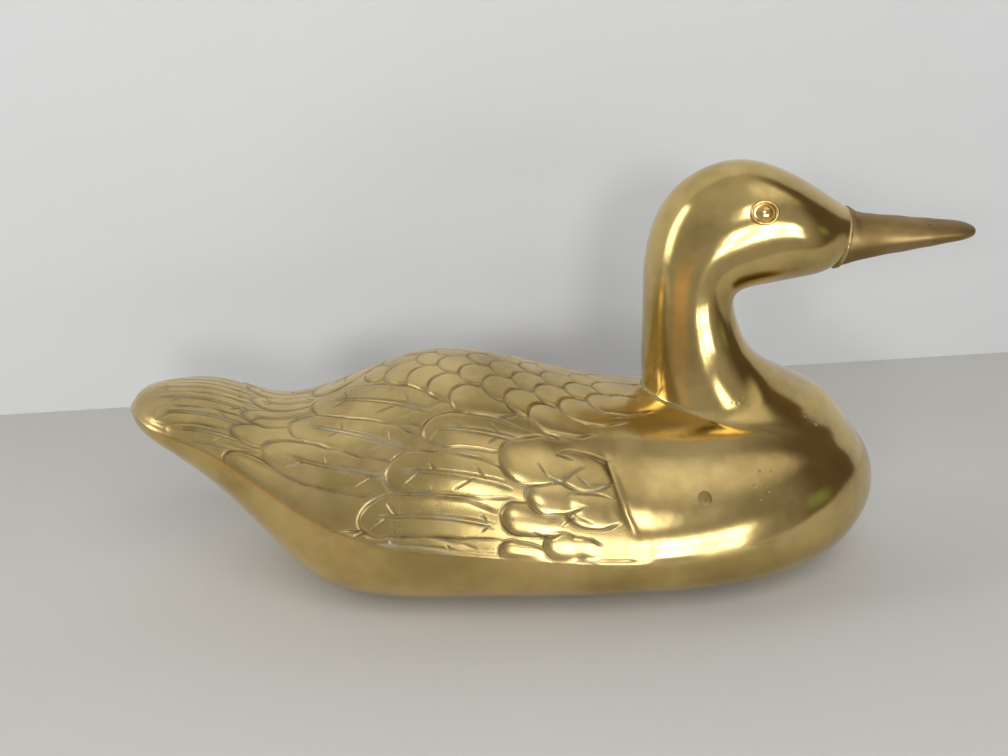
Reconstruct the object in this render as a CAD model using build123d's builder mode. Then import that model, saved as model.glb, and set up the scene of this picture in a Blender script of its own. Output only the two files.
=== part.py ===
from build123d import *
from math import copysign, cos, pi, sin
import os

# Hollow cast brass duck: body in two castings, head and neck, bill, eye studs, core plugs and filler metal.
# Frame: +X from the tail to the bill, +Y to the duck's left, +Z up. The origin is on the table, under the
# middle of the duck's length. All sizes are in millimetres.

os.makedirs("parts", exist_ok=True)

# Overall sizes
body_length = 275.5
body_width = 119.0
body_height = 82.5
head_reach = 73.5
head_rise = 105.5
head_width = 42.0
neck_foot_reach = 73.5
bill_length = 51.5
bill_width = 19.0

# Castings and the filler metal between them
body_wall = 3.0
head_wall = 2.8
seam_thickness = 0.8
neck_braze_thickness = 0.7
bill_braze_thickness = 1.2
bill_braze_proud = 0.6
bill_braze_round = 0.5
vent_diameter = 3.0

# Bill tenon in the front of the head
tenon_height = 13.0
tenon_width = 10.0
tenon_length = 7.0
tenon_clearance = 0.15

# Eye studs
eye_diameter = 9.6
eye_rim_height = 0.9
eye_rim_width = 1.0
eye_groove_depth = 0.35
eye_dome_diameter = 6.0
eye_dome_height = 1.5
eye_seat_depth = 1.2
eye_shank_diameter = 3.0
eye_shank_length = 4.5
eye_clearance = 0.1

# Core plugs in the breast
plug_diameter = 5.0
plug_clearance = 0.05

# Places on the duck, as shares of the body's length and height, or of the head's reach and rise
neck_back_share = 0.6735
neck_foot_share = 0.5576
plug_length_share = 0.714
plug_height_share = 0.545
vent_length_share = 0.53
eye_reach_share = 0.5
eye_rise_share = 0.855

# Body sections from the tail tip to the breast, each as shares: distance from the tail tip by the body's
# length, half width by half the body's width, top and bottom by the body's height, place of the widest line
# between bottom and top. The last two numbers are how square the upper and lower halves are (2 is round).
body_stations_share = (
    (0.000, 0.040, 0.833, 0.803, 0.50, 2.0, 2.0),
    (0.004, 0.110, 0.862, 0.778, 0.50, 2.0, 2.0),
    (0.012, 0.220, 0.888, 0.748, 0.50, 2.0, 2.0),
    (0.030, 0.355, 0.905, 0.705, 0.50, 2.0, 2.0),
    (0.062, 0.470, 0.909, 0.630, 0.55, 2.0, 2.0),
    (0.116, 0.597, 0.885, 0.485, 0.60, 2.0, 2.2),
    (0.171, 0.706, 0.818, 0.291, 0.60, 2.0, 2.4),
    (0.232, 0.824, 0.824, 0.091, 0.54, 2.0, 2.5),
    (0.316, 0.916, 0.933, 0.006, 0.42, 2.0, 2.5),
    (0.407, 0.966, 1.000, -0.006, 0.36, 2.0, 2.4),
    (0.515, 0.992, 0.939, -0.006, 0.34, 2.0, 2.4),
    (0.624, 1.000, 0.848, -0.006, 0.34, 2.0, 2.4),
    (0.733, 0.975, 0.812, -0.006, 0.36, 2.1, 2.4),
    (0.824, 0.890, 0.806, 0.006, 0.38, 2.2, 2.35),
    (0.907, 0.706, 0.752, 0.055, 0.40, 2.2, 2.2),
    (0.958, 0.487, 0.655, 0.139, 0.44, 2.1, 2.1),
    (0.986, 0.280, 0.545, 0.225, 0.47, 2.0, 2.0),
    (0.996, 0.140, 0.465, 0.300, 0.48, 2.0, 2.0),
    (1.000, 0.040, 0.405, 0.360, 0.50, 2.0, 2.0),
)
cavity_first, cavity_last = 5, 16

# Ribs of the head and neck from under the neck's foot to the bill root, each as shares: front point and back
# point by the head's reach and rise, half width by half the head's width. The foot's own ribs follow the
# reach of the neck's foot in place of the head's.
head_ribs_share = (
    (1.040, 0.057, 0.020, 0.000, 1.476),
    (0.905, 0.147, 0.014, 0.133, 1.333),
    (0.769, 0.213, 0.007, 0.227, 1.167),
    (0.619, 0.289, 0.000, 0.322, 1.000),
    (0.517, 0.379, 0.000, 0.436, 0.895),
    (0.463, 0.469, -0.003, 0.540, 0.857),
    (0.449, 0.526, 0.000, 0.654, 0.881),
    (0.483, 0.555, 0.034, 0.777, 0.929),
    (0.565, 0.569, 0.116, 0.886, 0.976),
    (0.660, 0.578, 0.265, 0.967, 1.000),
    (0.741, 0.588, 0.442, 1.000, 1.000),
    (0.823, 0.597, 0.619, 0.981, 0.952),
    (0.884, 0.607, 0.769, 0.934, 0.833),
    (0.925, 0.618, 0.905, 0.877, 0.667),
    (0.952, 0.626, 1.000, 0.834, 0.500),
)
foot_ribs = 4

# Sections of the bill from near its root to its tip, as shares: distance by the bill's length, bottom and top
# by the height of the bill's root from its lower edge, half width by half the bill's width.
bill_sections_share = (
    (0.150, 0.095, 0.888, 1.00),
    (0.330, 0.175, 0.832, 1.00),
    (0.520, 0.250, 0.790, 0.99),
    (0.680, 0.315, 0.757, 0.95),
    (0.800, 0.358, 0.728, 0.87),
    (0.880, 0.390, 0.700, 0.75),
    (0.940, 0.420, 0.668, 0.57),
    (0.975, 0.450, 0.635, 0.38),
    (0.993, 0.485, 0.600, 0.21),
    (1.000, 0.520, 0.565, 0.08),
)
bill_root_width_share = 1.02

# Steps from the top to the bottom of a section's outline
outline_steps = 8

# The tail tip and the bill tip are equally far from the origin
neck_back = neck_back_share * body_length
bill_root = neck_back + (head_ribs_share[-1][0] + head_ribs_share[-1][2]) / 2 * head_reach
overall_length = bill_root + bill_braze_thickness + bill_length
tail_x = -overall_length / 2
neck_back_x = tail_x + neck_back
neck_foot_z = neck_foot_share * body_height


def side_section(plane, half_width, low, high, widest_share=1 / 2, upper=2, lower=2):
    """Left half of a closed oval section, with a straight chord on the duck's plane of symmetry.

    Two quarter ovals meet on the widest line, between low and high. The powers say how square each of them
    is, where 2 is an ellipse. The outline is square to the chord at both ends.
    """
    widest = low + widest_share * (high - low)
    points = []
    for turn in range(outline_steps + 1):
        angle = turn * pi / outline_steps
        power = 2 / (upper if cos(angle) > 0 else lower)
        along = copysign(abs(cos(angle)) ** power, cos(angle))
        reach = high - widest if along > 0 else widest - low
        points.append((half_width * abs(sin(angle)) ** power, widest + along * reach))
    with BuildSketch(plane) as section:
        with BuildLine():
            Spline(*points, tangents=((1, 0), (-1, 0)), tangent_scalars=(1, 1))
            Line(points[-1], points[0])
        make_face()
    return section.sketch


def half_section(plane, half_width, parting, end, squareness):
    """Closed section of one half oval, from the parting line to its end above or below, and a straight chord."""
    points = []
    for turn in range(outline_steps + 1):
        angle = turn * pi / outline_steps
        across = copysign(abs(cos(angle)) ** (2 / squareness), cos(angle))
        points.append((half_width * across, parting + (end - parting) * abs(sin(angle)) ** (2 / squareness)))
    with BuildSketch(plane) as section:
        with BuildLine():
            Spline(*points, tangents=((0, end - parting), (0, parting - end)), tangent_scalars=(1, 1))
            Line(points[-1], points[0])
        make_face()
    return section.sketch


def station_sizes(station):
    """Half width, top, bottom and parting height of a body section."""
    width_share, top_share, bottom_share, widest_share = station[1:5]
    top = top_share * body_height
    bottom = bottom_share * body_height
    return width_share * body_width / 2, top, bottom, bottom + widest_share * (top - bottom)


def station_plane(station, wall):
    """Plane of a body section, drawn in towards the middle of the body by up to the wall."""
    middle = tail_x + body_length / 2
    return Plane.YZ.offset(middle + (station[0] - 1 / 2) * (body_length - 2 * wall))


def upper_section(station):
    """Section of the upper half of the body, above the filler metal in the parting line."""
    half_width, top, _, parting = station_sizes(station)
    return half_section(station_plane(station, 0), half_width, parting + seam_thickness / 2, top, station[5])


def lower_section(station):
    """Section of the lower half of the body, below the filler metal in the parting line."""
    half_width, _, bottom, parting = station_sizes(station)
    return half_section(station_plane(station, 0), half_width, parting - seam_thickness / 2, bottom, station[6])


def seam_section(station):
    """Section of the filler metal, as wide as the body at its parting line."""
    half_width, _, _, parting = station_sizes(station)
    with BuildSketch(station_plane(station, 0)) as section:
        with Locations((0, parting)):
            Rectangle(2 * half_width, seam_thickness)
    return section.sketch


def cavity_section(station):
    """Left half of a section of the hollow, the body's own section drawn in by the wall on every side."""
    half_width, top, bottom, _ = station_sizes(station)
    return side_section(station_plane(station, body_wall), half_width - body_wall, bottom + body_wall,
                        top - body_wall, *station[4:])


def rib_points(rib):
    """Front point and back point of a head rib."""
    reach = neck_foot_reach if rib in head_ribs_share[:foot_ribs] else head_reach
    front = Vector(neck_back_x + rib[0] * reach, 0, neck_foot_z + rib[1] * head_rise)
    back = Vector(neck_back_x + rib[2] * reach, 0, neck_foot_z + rib[3] * head_rise)
    return front, back


def rib_plane(rib):
    """Plane across a head rib, with its y direction from the front point to the back point."""
    front, back = rib_points(rib)
    left = Vector(0, 1, 0)
    return Plane((front + back) / 2, x_dir=left, z_dir=left.cross(back - front))


def rib_half_span(rib):
    """Half the distance from a head rib's front point to its back point."""
    front, back = rib_points(rib)
    return (back - front).length / 2


def rib_section(rib, wall, drop=0):
    """Left half of one oval rib of the head, drawn in by the wall on every side and moved down by the drop."""
    half_span = rib_half_span(rib) - wall
    return side_section(rib_plane(rib).offset(-drop), rib[4] * head_width / 2 - wall, -half_span, half_span)


def seat_plane(form, across, towards):
    """Plane on the outside of a form, where an axis first meets it from far off, with Z pointing outwards."""
    point, normal = form.part.shell().find_intersection_points(Axis(across, towards))[0]
    return Plane(point, x_dir=Vector(1, 0, 0), z_dir=normal)


# Outer form of the upper half of the body, with the parting line as its lower edge
with BuildPart() as upper_form:
    loft(sections=[upper_section(station) for station in body_stations_share])

# Outer form of the lower half of the body, cut flat where it stands
with BuildPart() as lower_form:
    loft(sections=[lower_section(station) for station in body_stations_share])
    split(bisect_by=Plane.XY, keep=Keep.TOP)

# Hollow of the body, which ends short of the solid tail
with BuildPart() as body_cavity:
    loft(sections=[cavity_section(station) for station in body_stations_share[cavity_first:cavity_last + 1]])
    mirror(about=Plane.XZ)

# Outer form of the head and neck, from inside the body to the bill root
with BuildPart() as head_form:
    loft(sections=[rib_section(rib, 0) for rib in head_ribs_share])
    mirror(about=Plane.XZ)

# Hollow of the head and neck, open into the body and closed behind the bill root
with BuildPart() as head_cavity:
    loft(sections=[rib_section(head_ribs_share[0], head_wall, head_wall),
                   *(rib_section(rib, head_wall) for rib in head_ribs_share[1:-1])])
    mirror(about=Plane.XZ)

# Shell of the head and neck before its foot is cut to the back
with BuildPart() as head_shell:
    add(head_form.part)
    add(head_cavity.part, mode=Mode.SUBTRACT)

# Top of the filler metal under the neck: the back's own surface, raised by the thickness of the filler
neck_seat = Pos(0, 0, neck_braze_thickness) * upper_form.part

# Bill root plane, parallel to the front of the head
head_front_plane = rib_plane(head_ribs_share[-1])
bill_root_half_height = rib_half_span(head_ribs_share[-1])
bill_root_plane = head_front_plane.offset(bill_braze_thickness)
bill_root_half_width = bill_root_width_share * bill_width / 2

# Places on the skin where the studs and plugs go, and the same places on the other side
eye_x = neck_back_x + eye_reach_share * head_reach
eye_z = neck_foot_z + eye_rise_share * head_rise
right_eye_plane = seat_plane(head_form, (eye_x, -body_width, eye_z), (0, 1, 0))
left_eye_plane = seat_plane(head_form, (eye_x, body_width, eye_z), (0, -1, 0))
plug_x = tail_x + plug_length_share * body_length
plug_z = plug_height_share * body_height
right_plug_plane = seat_plane(upper_form, (plug_x, -body_width, plug_z), (0, 1, 0))
left_plug_plane = seat_plane(upper_form, (plug_x, body_width, plug_z), (0, -1, 0))

# Upper casting: breast, back, wings and tail, open below, with the neck's bore and the two plug holes
with BuildPart() as upper_body:
    add(upper_form.part)
    add(body_cavity.part, mode=Mode.SUBTRACT)
    add(head_cavity.part, mode=Mode.SUBTRACT)
    for plane in (right_plug_plane, left_plug_plane):
        with BuildSketch(plane.offset(-2 * body_wall)):
            Circle(plug_diameter / 2 + plug_clearance)
        extrude(amount=3 * body_wall, mode=Mode.SUBTRACT)
upper_body.part.label = "upper_body"
export_step(upper_body.part, "parts/upper_body.step")

# Filler metal in the joint between the two body castings, all along the parting line
with BuildPart() as hull_braze_seam:
    loft(sections=[seam_section(station) for station in body_stations_share])
    add(upper_form.part, mode=Mode.SUBTRACT)
    add(lower_form.part, mode=Mode.SUBTRACT)
    add(body_cavity.part, mode=Mode.SUBTRACT)
hull_braze_seam.part.label = "hull_braze_seam"
export_step(hull_braze_seam.part, "parts/hull_braze_seam.step")

# Lower casting: a pan with a flat foot and a small vent hole that lets the brazing gases out
with BuildPart() as lower_hull:
    add(lower_form.part)
    add(body_cavity.part, mode=Mode.SUBTRACT)
    with BuildSketch(Plane.XY.offset(-body_wall)):
        with Locations((tail_x + vent_length_share * body_length, 0)):
            Circle(vent_diameter / 2)
    extrude(amount=3 * body_wall, mode=Mode.SUBTRACT)
lower_hull.part.label = "lower_hull"
export_step(lower_hull.part, "parts/lower_hull.step")

# Core plugs, dressed flush with the breast and cut off flush inside
for side, plane in (("right", right_plug_plane), ("left", left_plug_plane)):
    with BuildPart() as breast_plug:
        with BuildSketch(plane.offset(-2 * body_wall)):
            Circle(plug_diameter / 2)
        extrude(amount=3 * body_wall)
        add(upper_form.part, mode=Mode.INTERSECT)
        add(body_cavity.part, mode=Mode.SUBTRACT)
    breast_plug.part.label = f"breast_plug_{side}"
    export_step(breast_plug.part, f"parts/breast_plug_{side}.step")

# Filler metal between the foot of the neck and the back
with BuildPart() as neck_braze_ring:
    add(head_shell.part)
    add(neck_seat, mode=Mode.INTERSECT)
    add(upper_form.part, mode=Mode.SUBTRACT)
neck_braze_ring.part.label = "neck_braze_ring"
export_step(neck_braze_ring.part, "parts/neck_braze_ring.step")

# Head and neck casting, standing on the filler, with seats for the eye studs and a socket for the bill
with BuildPart() as head_and_neck:
    add(head_shell.part)
    add(neck_seat, mode=Mode.SUBTRACT)
    with BuildSketch(head_front_plane.offset(-2 * tenon_length)):
        Ellipse(tenon_width / 2 + tenon_clearance, tenon_height / 2 + tenon_clearance)
    extrude(amount=3 * tenon_length, mode=Mode.SUBTRACT)
    for plane in (right_eye_plane, left_eye_plane):
        with BuildSketch(plane.offset(-eye_seat_depth)):
            Circle(eye_diameter / 2 + eye_clearance)
        extrude(amount=3 * eye_seat_depth, mode=Mode.SUBTRACT)
        with BuildSketch(plane.offset(-2 * eye_shank_length)):
            Circle(eye_shank_diameter / 2 + eye_clearance)
        extrude(amount=2 * eye_shank_length, mode=Mode.SUBTRACT)
head_and_neck.part.label = "head_and_neck"
export_step(head_and_neck.part, "parts/head_and_neck.step")

# Eye studs: a raised rim, a groove, a domed pupil and a shank through the wall of the head
for side, plane in (("right", right_eye_plane), ("left", left_eye_plane)):
    rim = eye_diameter / 2
    rim_inner = rim - eye_rim_width
    dome = eye_dome_diameter / 2
    shank = eye_shank_diameter / 2
    profile_plane = Plane(plane.origin, x_dir=plane.x_dir, z_dir=-plane.y_dir)
    with BuildPart() as eye:
        with BuildSketch(profile_plane):
            with BuildLine():
                Polyline((0, -eye_shank_length), (shank, -eye_shank_length), (shank, -eye_seat_depth),
                         (rim, -eye_seat_depth), (rim, eye_rim_height / 2))
                ThreePointArc((rim, eye_rim_height / 2), ((rim + rim_inner) / 2, eye_rim_height),
                              (rim_inner, eye_rim_height / 2))
                Polyline((rim_inner, eye_rim_height / 2), (rim_inner, -eye_groove_depth),
                         (dome, -eye_groove_depth))
                Spline((dome, -eye_groove_depth), (0, eye_dome_height), tangents=((0, 1), (-1, 0)))
                Line((0, eye_dome_height), (0, -eye_shank_length))
            make_face()
        revolve(axis=Axis(plane.origin, plane.z_dir))
    eye.part.label = f"{side}_eye"
    export_step(eye.part, f"parts/{side}_eye.step")

# Filler metal around the bill's tenon, standing a little proud of the joint
with BuildPart() as bill_braze_ring:
    with BuildSketch(head_front_plane):
        Ellipse(bill_root_half_width + bill_braze_proud, bill_root_half_height + bill_braze_proud)
        Ellipse(tenon_width / 2, tenon_height / 2, mode=Mode.SUBTRACT)
    extrude(amount=bill_braze_thickness)
    outer_edges = bill_braze_ring.edges().sort_by(SortBy.LENGTH)[-2:]
    fillet(outer_edges, radius=bill_braze_round)
bill_braze_ring.part.label = "bill_braze_ring"
export_step(bill_braze_ring.part, "parts/bill_braze_ring.step")

# Solid bill, with a tenon through the filler and the front of the head
bill_root_height = 2 * bill_root_half_height
root_bottom = bill_root_plane.origin.Z - bill_root_half_height
bill_tip_x = overall_length / 2
bill_run = bill_tip_x - bill_root_plane.origin.X
bill_sections = [side_section(bill_root_plane, bill_root_half_width, -bill_root_half_height,
                              bill_root_half_height)]
for along, bottom, top, width in bill_sections_share:
    bill_sections.append(side_section(Plane.YZ.offset(bill_root_plane.origin.X + along * bill_run),
                                      width * bill_width / 2, root_bottom + bottom * bill_root_height,
                                      root_bottom + top * bill_root_height))
with BuildPart() as bill:
    loft(sections=bill_sections)
    mirror(about=Plane.XZ)
    with BuildSketch(bill_root_plane):
        Ellipse(tenon_width / 2, tenon_height / 2)
    extrude(amount=-tenon_length)
bill.part.label = "bill"
export_step(bill.part, "parts/bill.step")
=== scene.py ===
import math

import bpy
import numpy as np
from bpy.props import FloatProperty, FloatVectorProperty, PointerProperty
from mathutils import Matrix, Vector


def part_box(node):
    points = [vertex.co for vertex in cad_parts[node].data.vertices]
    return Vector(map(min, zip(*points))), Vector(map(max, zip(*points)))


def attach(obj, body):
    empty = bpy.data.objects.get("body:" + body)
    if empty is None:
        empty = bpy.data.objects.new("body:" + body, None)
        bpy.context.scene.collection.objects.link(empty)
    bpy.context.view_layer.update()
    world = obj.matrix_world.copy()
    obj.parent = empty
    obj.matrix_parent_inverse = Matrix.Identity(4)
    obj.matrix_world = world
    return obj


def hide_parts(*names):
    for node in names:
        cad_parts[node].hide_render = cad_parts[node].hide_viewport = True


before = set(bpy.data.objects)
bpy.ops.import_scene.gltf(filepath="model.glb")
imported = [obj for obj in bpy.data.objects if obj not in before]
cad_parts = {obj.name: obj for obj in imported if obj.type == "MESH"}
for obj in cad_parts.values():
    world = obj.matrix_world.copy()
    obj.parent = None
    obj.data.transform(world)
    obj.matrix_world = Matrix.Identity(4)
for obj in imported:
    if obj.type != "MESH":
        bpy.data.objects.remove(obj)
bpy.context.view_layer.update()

bl_info = {
    "name": "Brass Duck",
    "version": (1, 0, 0),
    "blender": (4, 5, 0),
    "location": "View3D > Sidebar > Duck",
    "description": "Polished cast brass duck with carved feathers, built around its solid model",
    "category": "Object",
}

# Sizes of the castings, read from the solid model
upper_low, upper_high = (np.array(corner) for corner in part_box("upper_body"))
head_high = np.array(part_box("head_and_neck")[1])
bill_low, bill_high = (np.array(corner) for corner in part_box("bill"))
stud_low, stud_high = (np.array(corner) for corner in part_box("right_eye"))
plug_low, plug_high = (np.array(corner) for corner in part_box("breast_plug_right"))

body_length = upper_high[0] - upper_low[0]
body_width = upper_high[1] - upper_low[1]
body_height = upper_high[2]
tail_x = upper_low[0]
bill_width = bill_high[1] - bill_low[1]

# Place of the neck's back by the body's length, height of its foot by the body's height, and the head's half
# width by the body's
neck_back_share, neck_foot_share = 0.6735, 0.5576
head_half_width_share = 21.0 / 59.5
neck_back_x = tail_x + neck_back_share * body_length
neck_foot_z = neck_foot_share * body_height
head_reach = head_high[0] - neck_back_x
head_rise = head_high[2] - neck_foot_z
head_half_width = head_half_width_share * body_width / 2

# Every piece is made this much smaller than the solids, so that it stays inside their box
inset = 0.99965

# The feather pattern was laid out in millimetres on a body of this length, in metres
pattern_body_length = 0.2755
pattern_unit = body_length / pattern_body_length

# Body sections from the tail tip to the breast, as shares: distance from the tail tip by the body's length,
# half width by half the body's width, top and bottom by the body's height, place of the widest line between
# bottom and top, and how square the upper and lower halves are (2 is round).
body_stations_share = np.array((
    (0.000, 0.040, 0.833, 0.803, 0.50, 2.0, 2.0),
    (0.004, 0.110, 0.862, 0.778, 0.50, 2.0, 2.0),
    (0.012, 0.220, 0.888, 0.748, 0.50, 2.0, 2.0),
    (0.030, 0.355, 0.905, 0.705, 0.50, 2.0, 2.0),
    (0.062, 0.470, 0.909, 0.630, 0.55, 2.0, 2.0),
    (0.116, 0.597, 0.885, 0.485, 0.60, 2.0, 2.2),
    (0.171, 0.706, 0.818, 0.291, 0.60, 2.0, 2.4),
    (0.232, 0.824, 0.824, 0.091, 0.54, 2.0, 2.5),
    (0.316, 0.916, 0.933, 0.006, 0.42, 2.0, 2.5),
    (0.407, 0.966, 1.000, -0.006, 0.36, 2.0, 2.4),
    (0.515, 0.992, 0.939, -0.006, 0.34, 2.0, 2.4),
    (0.624, 1.000, 0.848, -0.006, 0.34, 2.0, 2.4),
    (0.733, 0.975, 0.812, -0.006, 0.36, 2.1, 2.4),
    (0.824, 0.890, 0.806, 0.006, 0.38, 2.2, 2.35),
    (0.907, 0.706, 0.752, 0.055, 0.40, 2.2, 2.2),
    (0.958, 0.487, 0.655, 0.139, 0.44, 2.1, 2.1),
    (0.986, 0.280, 0.545, 0.225, 0.47, 2.0, 2.0),
    (0.996, 0.140, 0.465, 0.300, 0.48, 2.0, 2.0),
    (1.000, 0.040, 0.405, 0.360, 0.50, 2.0, 2.0),
))

# Ribs of the head and neck from under the neck's foot to the bill, as shares: front point and back point by
# the head's reach and rise, half width by the head's half width.
head_ribs_share = np.array((
    (1.040, 0.057, 0.020, 0.000, 1.476),
    (0.905, 0.147, 0.014, 0.133, 1.333),
    (0.769, 0.213, 0.007, 0.227, 1.167),
    (0.619, 0.289, 0.000, 0.322, 1.000),
    (0.517, 0.379, 0.000, 0.436, 0.895),
    (0.463, 0.469, -0.003, 0.540, 0.857),
    (0.449, 0.526, 0.000, 0.654, 0.881),
    (0.483, 0.555, 0.034, 0.777, 0.929),
    (0.565, 0.569, 0.116, 0.886, 0.976),
    (0.660, 0.578, 0.265, 0.967, 1.000),
    (0.741, 0.588, 0.442, 1.000, 1.000),
    (0.823, 0.597, 0.619, 0.981, 0.952),
    (0.884, 0.607, 0.769, 0.934, 0.833),
    (0.925, 0.618, 0.905, 0.877, 0.667),
    (0.952, 0.626, 1.000, 0.834, 0.500),
))

# Sections of the bill from its root to its tip, as shares: distance by the bill's run, bottom and top by the
# height of the root from its lower edge, half width by half the bill's width.
bill_sections_share = np.array((
    (0.000, 0.000, 1.000, 1.02),
    (0.150, 0.095, 0.888, 1.00),
    (0.330, 0.175, 0.832, 1.00),
    (0.520, 0.250, 0.790, 0.99),
    (0.680, 0.315, 0.757, 0.95),
    (0.800, 0.358, 0.728, 0.87),
    (0.880, 0.390, 0.700, 0.75),
    (0.940, 0.420, 0.668, 0.57),
    (0.975, 0.450, 0.635, 0.38),
    (0.993, 0.485, 0.600, 0.21),
    (1.000, 0.520, 0.565, 0.08),
))

# Long feathers of one side, in pattern millimetres, from the tail to the shoulder, so that a later row lies
# over an earlier one. A place is x along the body and the girth down from the middle of the back. Columns:
# root x, root girth, bend x, bend girth, tip x, tip girth, half width, relief share, shaft (1 or 0).
long_feathers = (
    (-108, 31, -122, 31, -140, 27, 5.5, 0.20, 1),
    (-106, 22, -124, 22, -147, 18, 6.0, 0.20, 1),
    (-104, 11, -124, 12, -151, 8, 6.2, 0.22, 1),
    (-104, 0, -124, 0, -154, 0, 5.2, 0.25, 1),
    (-72, 74, -88, 69, -98, 63, 4.2, 0.90, 0),
    (-62, 68, -86, 59, -120, 38, 7.6, 1.00, 0),
    (-84, 19, -100, 25, -118, 27, 6.2, 0.70, 0),
    (-84, 9, -98, 13, -115, 15, 6.2, 0.75, 1),
    (-86, 0, -98, 0, -113, 0, 6.6, 0.80, 1),
    (-56, 60, -76, 49, -107, 30, 7.8, 1.00, 1),
    (-52, 52, -72, 37, -98, 16, 7.2, 1.00, 1),
    (-44, 38, -66, 24, -90, 3, 8.8, 1.10, 1),
    (-38, 87, -56, 83, -80, 72, 4.6, 1.00, 1),
    (-24, 77, -50, 74, -76, 64, 7.2, 1.20, 1),
    (-20, 62, -44, 60, -67, 52, 7.4, 1.20, 1),
    (-16, 45, -36, 43, -54, 41, 7.0, 1.10, 1),
)

# Plump feathers of the shoulder, in pattern millimetres: root x and girth, tip x and girth, half width,
# relief share.
shoulder_feathers = (
    (-6, 87, -30, 84, 4.6, 1.1),
    (6, 80, -6, 79, 4.4, 0.9),
    (0, 79, -15, 81, 5.6, 1.5),
    (-6, 71, -29, 73, 6.0, 1.7),
    (12, 65, -7, 67, 6.4, 1.4),
    (0, 61, -20, 65, 6.2, 1.5),
    (12, 51, -10, 53, 7.0, 0.9),
    (0, 46, -28, 55, 8.6, 1.3),
)

# Short cuts in the hollows between the shoulder's feathers: start x and girth, end x and girth
shoulder_strokes = (
    (-12, 57, -6, 58.5), (-12, 57, -15, 53), (2, 58, 7, 56), (2, 58, -2, 55),
    (-4, 69, 2, 70.5), (-4, 69, -8, 73), (6, 72, 10, 70), (-18, 77, -13, 78.5),
    (0, 84, 5, 85), (-30, 62, -25, 63), (-8, 48, -3, 49), (4, 47, 8, 48.5),
)

# The tail tip's x in the pattern, in pattern millimetres
pattern_tail_x = -155.0

# Scale feathers of the back, in pattern millimetres: columns from the rump to the neck and their distance,
# pitch across the back at the rear and at the front, half width by the pitch, length by the width, lean by
# the girth, and how far down the scales reach at places along the back
scale_first_x, scale_last_x, scale_step = -72.0, 13.0, 9.4
scale_pitch, scale_pitch_front = 16.5, 12.5
scale_width_share = 0.53
scale_length_share = 1.75
scale_lean_share = -0.3
scale_limit_girth = (27.0, 33.0, 36.0, 37.0, 30.0)
scale_limit_x = (-66.0, -50.0, -20.0, -4.0, 14.0)

# How far inside that limit a scale's middle stays, by the pitch, its root's girth by its middle's, where its
# corners are, by its half width, and how the cuts in them run
scale_limit_share, scale_root_share = 0.2, 0.94
corner_share, corner_run = (1.1, 0.97), (2.6, 0.8)

# Where the coarser breast starts, by the body's length, the distance between neighbouring points of the
# castings and the thickness of the filler metal at the bill's root, in metres
breast_start_share = 0.644
breast_start_x = tail_x + breast_start_share * body_length
fine_step = 0.00038 * pattern_unit
breast_step = 0.0009 * pattern_unit
bead_thickness = 1.2e-3 * pattern_unit

# Points worked out along the body's profile, along the head's ribs and along a feather's centre line
profile_samples = 6000
rib_samples = 6000
curve_samples = 40

# Stations at each end of the body that are mirrored through its pole
mirrored_stations = 3

# The head's ribs up to this one are nearly level and make the neck
neck_last_rib = 6

# Step of the slopes that are taken as differences, and the smallest distance that is divided by, in metres
slope_step = 0.001
tiny = 1e-6


def cubic_rows(knots, rows, at):
    """Natural cubic spline through rows of values.

    Between two knots each value is a cubic whose second derivative runs straight from one knot to the next.
    The second derivatives come from one tridiagonal system and are zero at both ends.
    """
    count = len(knots)
    gap = np.diff(knots)[:, None]
    system = np.eye(count)
    inner = np.arange(1, count - 1)
    system[inner, inner - 1] = gap[:-1, 0]
    system[inner, inner] = 2 * (gap[:-1, 0] + gap[1:, 0])
    system[inner, inner + 1] = gap[1:, 0]
    slope = np.diff(rows, axis=0) / gap
    bend = np.zeros_like(rows)
    bend[1:-1] = 6 * np.diff(slope, axis=0)
    curve = np.linalg.solve(system, bend)
    place = np.clip(np.searchsorted(knots, at) - 1, 0, count - 2)
    done = (at - knots[place])[:, None]
    left = (knots[place + 1] - at)[:, None]
    width = gap[place]
    bent = (curve[place] * left**3 + curve[place + 1] * done**3) / (6 * width)
    straight = (rows[place] / width - curve[place] * width / 6) * left
    return bent + straight + (rows[place + 1] / width - curve[place + 1] * width / 6) * done


def smooth(values, low, high):
    """0 below low, 1 above high, and 3t^2 - 2t^3 between them."""
    share = np.clip((values - low) / (high - low), 0, 1)
    return share * share * (3 - 2 * share)


def body_profile():
    """Dense rows of x, half width, rise above and drop below the parting line, parting height, squareness.

    The stations are run through both ends of the body as if it went on mirrored through the pole, so that
    the ends close round: width, rise and drop change sign there, the other values don't.
    """
    shares = body_stations_share
    top = shares[:, 2] * body_height
    bottom = shares[:, 3] * body_height
    parting = bottom + shares[:, 4] * (top - bottom)
    x = tail_x + shares[:, 0] * body_length
    half_width = shares[:, 1] * body_width / 2
    rows = np.stack([x, half_width, top - parting, parting - bottom, parting, shares[:, 5], shares[:, 6]], 1)
    sign = np.array([1, -1, -1, -1, 1, 1, 1.0])
    flat = np.array([1, 0, 0, 0, 1, 1, 1.0])
    count = mirrored_stations
    every = np.vstack([rows[:count][::-1] * sign, rows[:1] * flat, rows, rows[-1:] * flat,
                       rows[-count:][::-1] * sign])
    reach = np.sqrt((np.diff(every[:, :3], axis=0) ** 2).sum(1))
    knots = np.concatenate([[0], np.cumsum(np.sqrt(reach))])
    dense = cubic_rows(knots, every, np.linspace(knots[count], knots[-count - 1], profile_samples))
    dense[:, 0] = np.clip(dense[:, 0], tail_x, tail_x + body_length)
    dense[:, 1:4] = np.maximum(dense[:, 1:4], 0)
    return dense


profile = body_profile()

# Distance along the body's outline in plan, from the tail tip
outline_travel = np.concatenate([[0], np.cumsum(np.hypot(np.diff(profile[:, 0]), np.diff(profile[:, 1])))])


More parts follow.
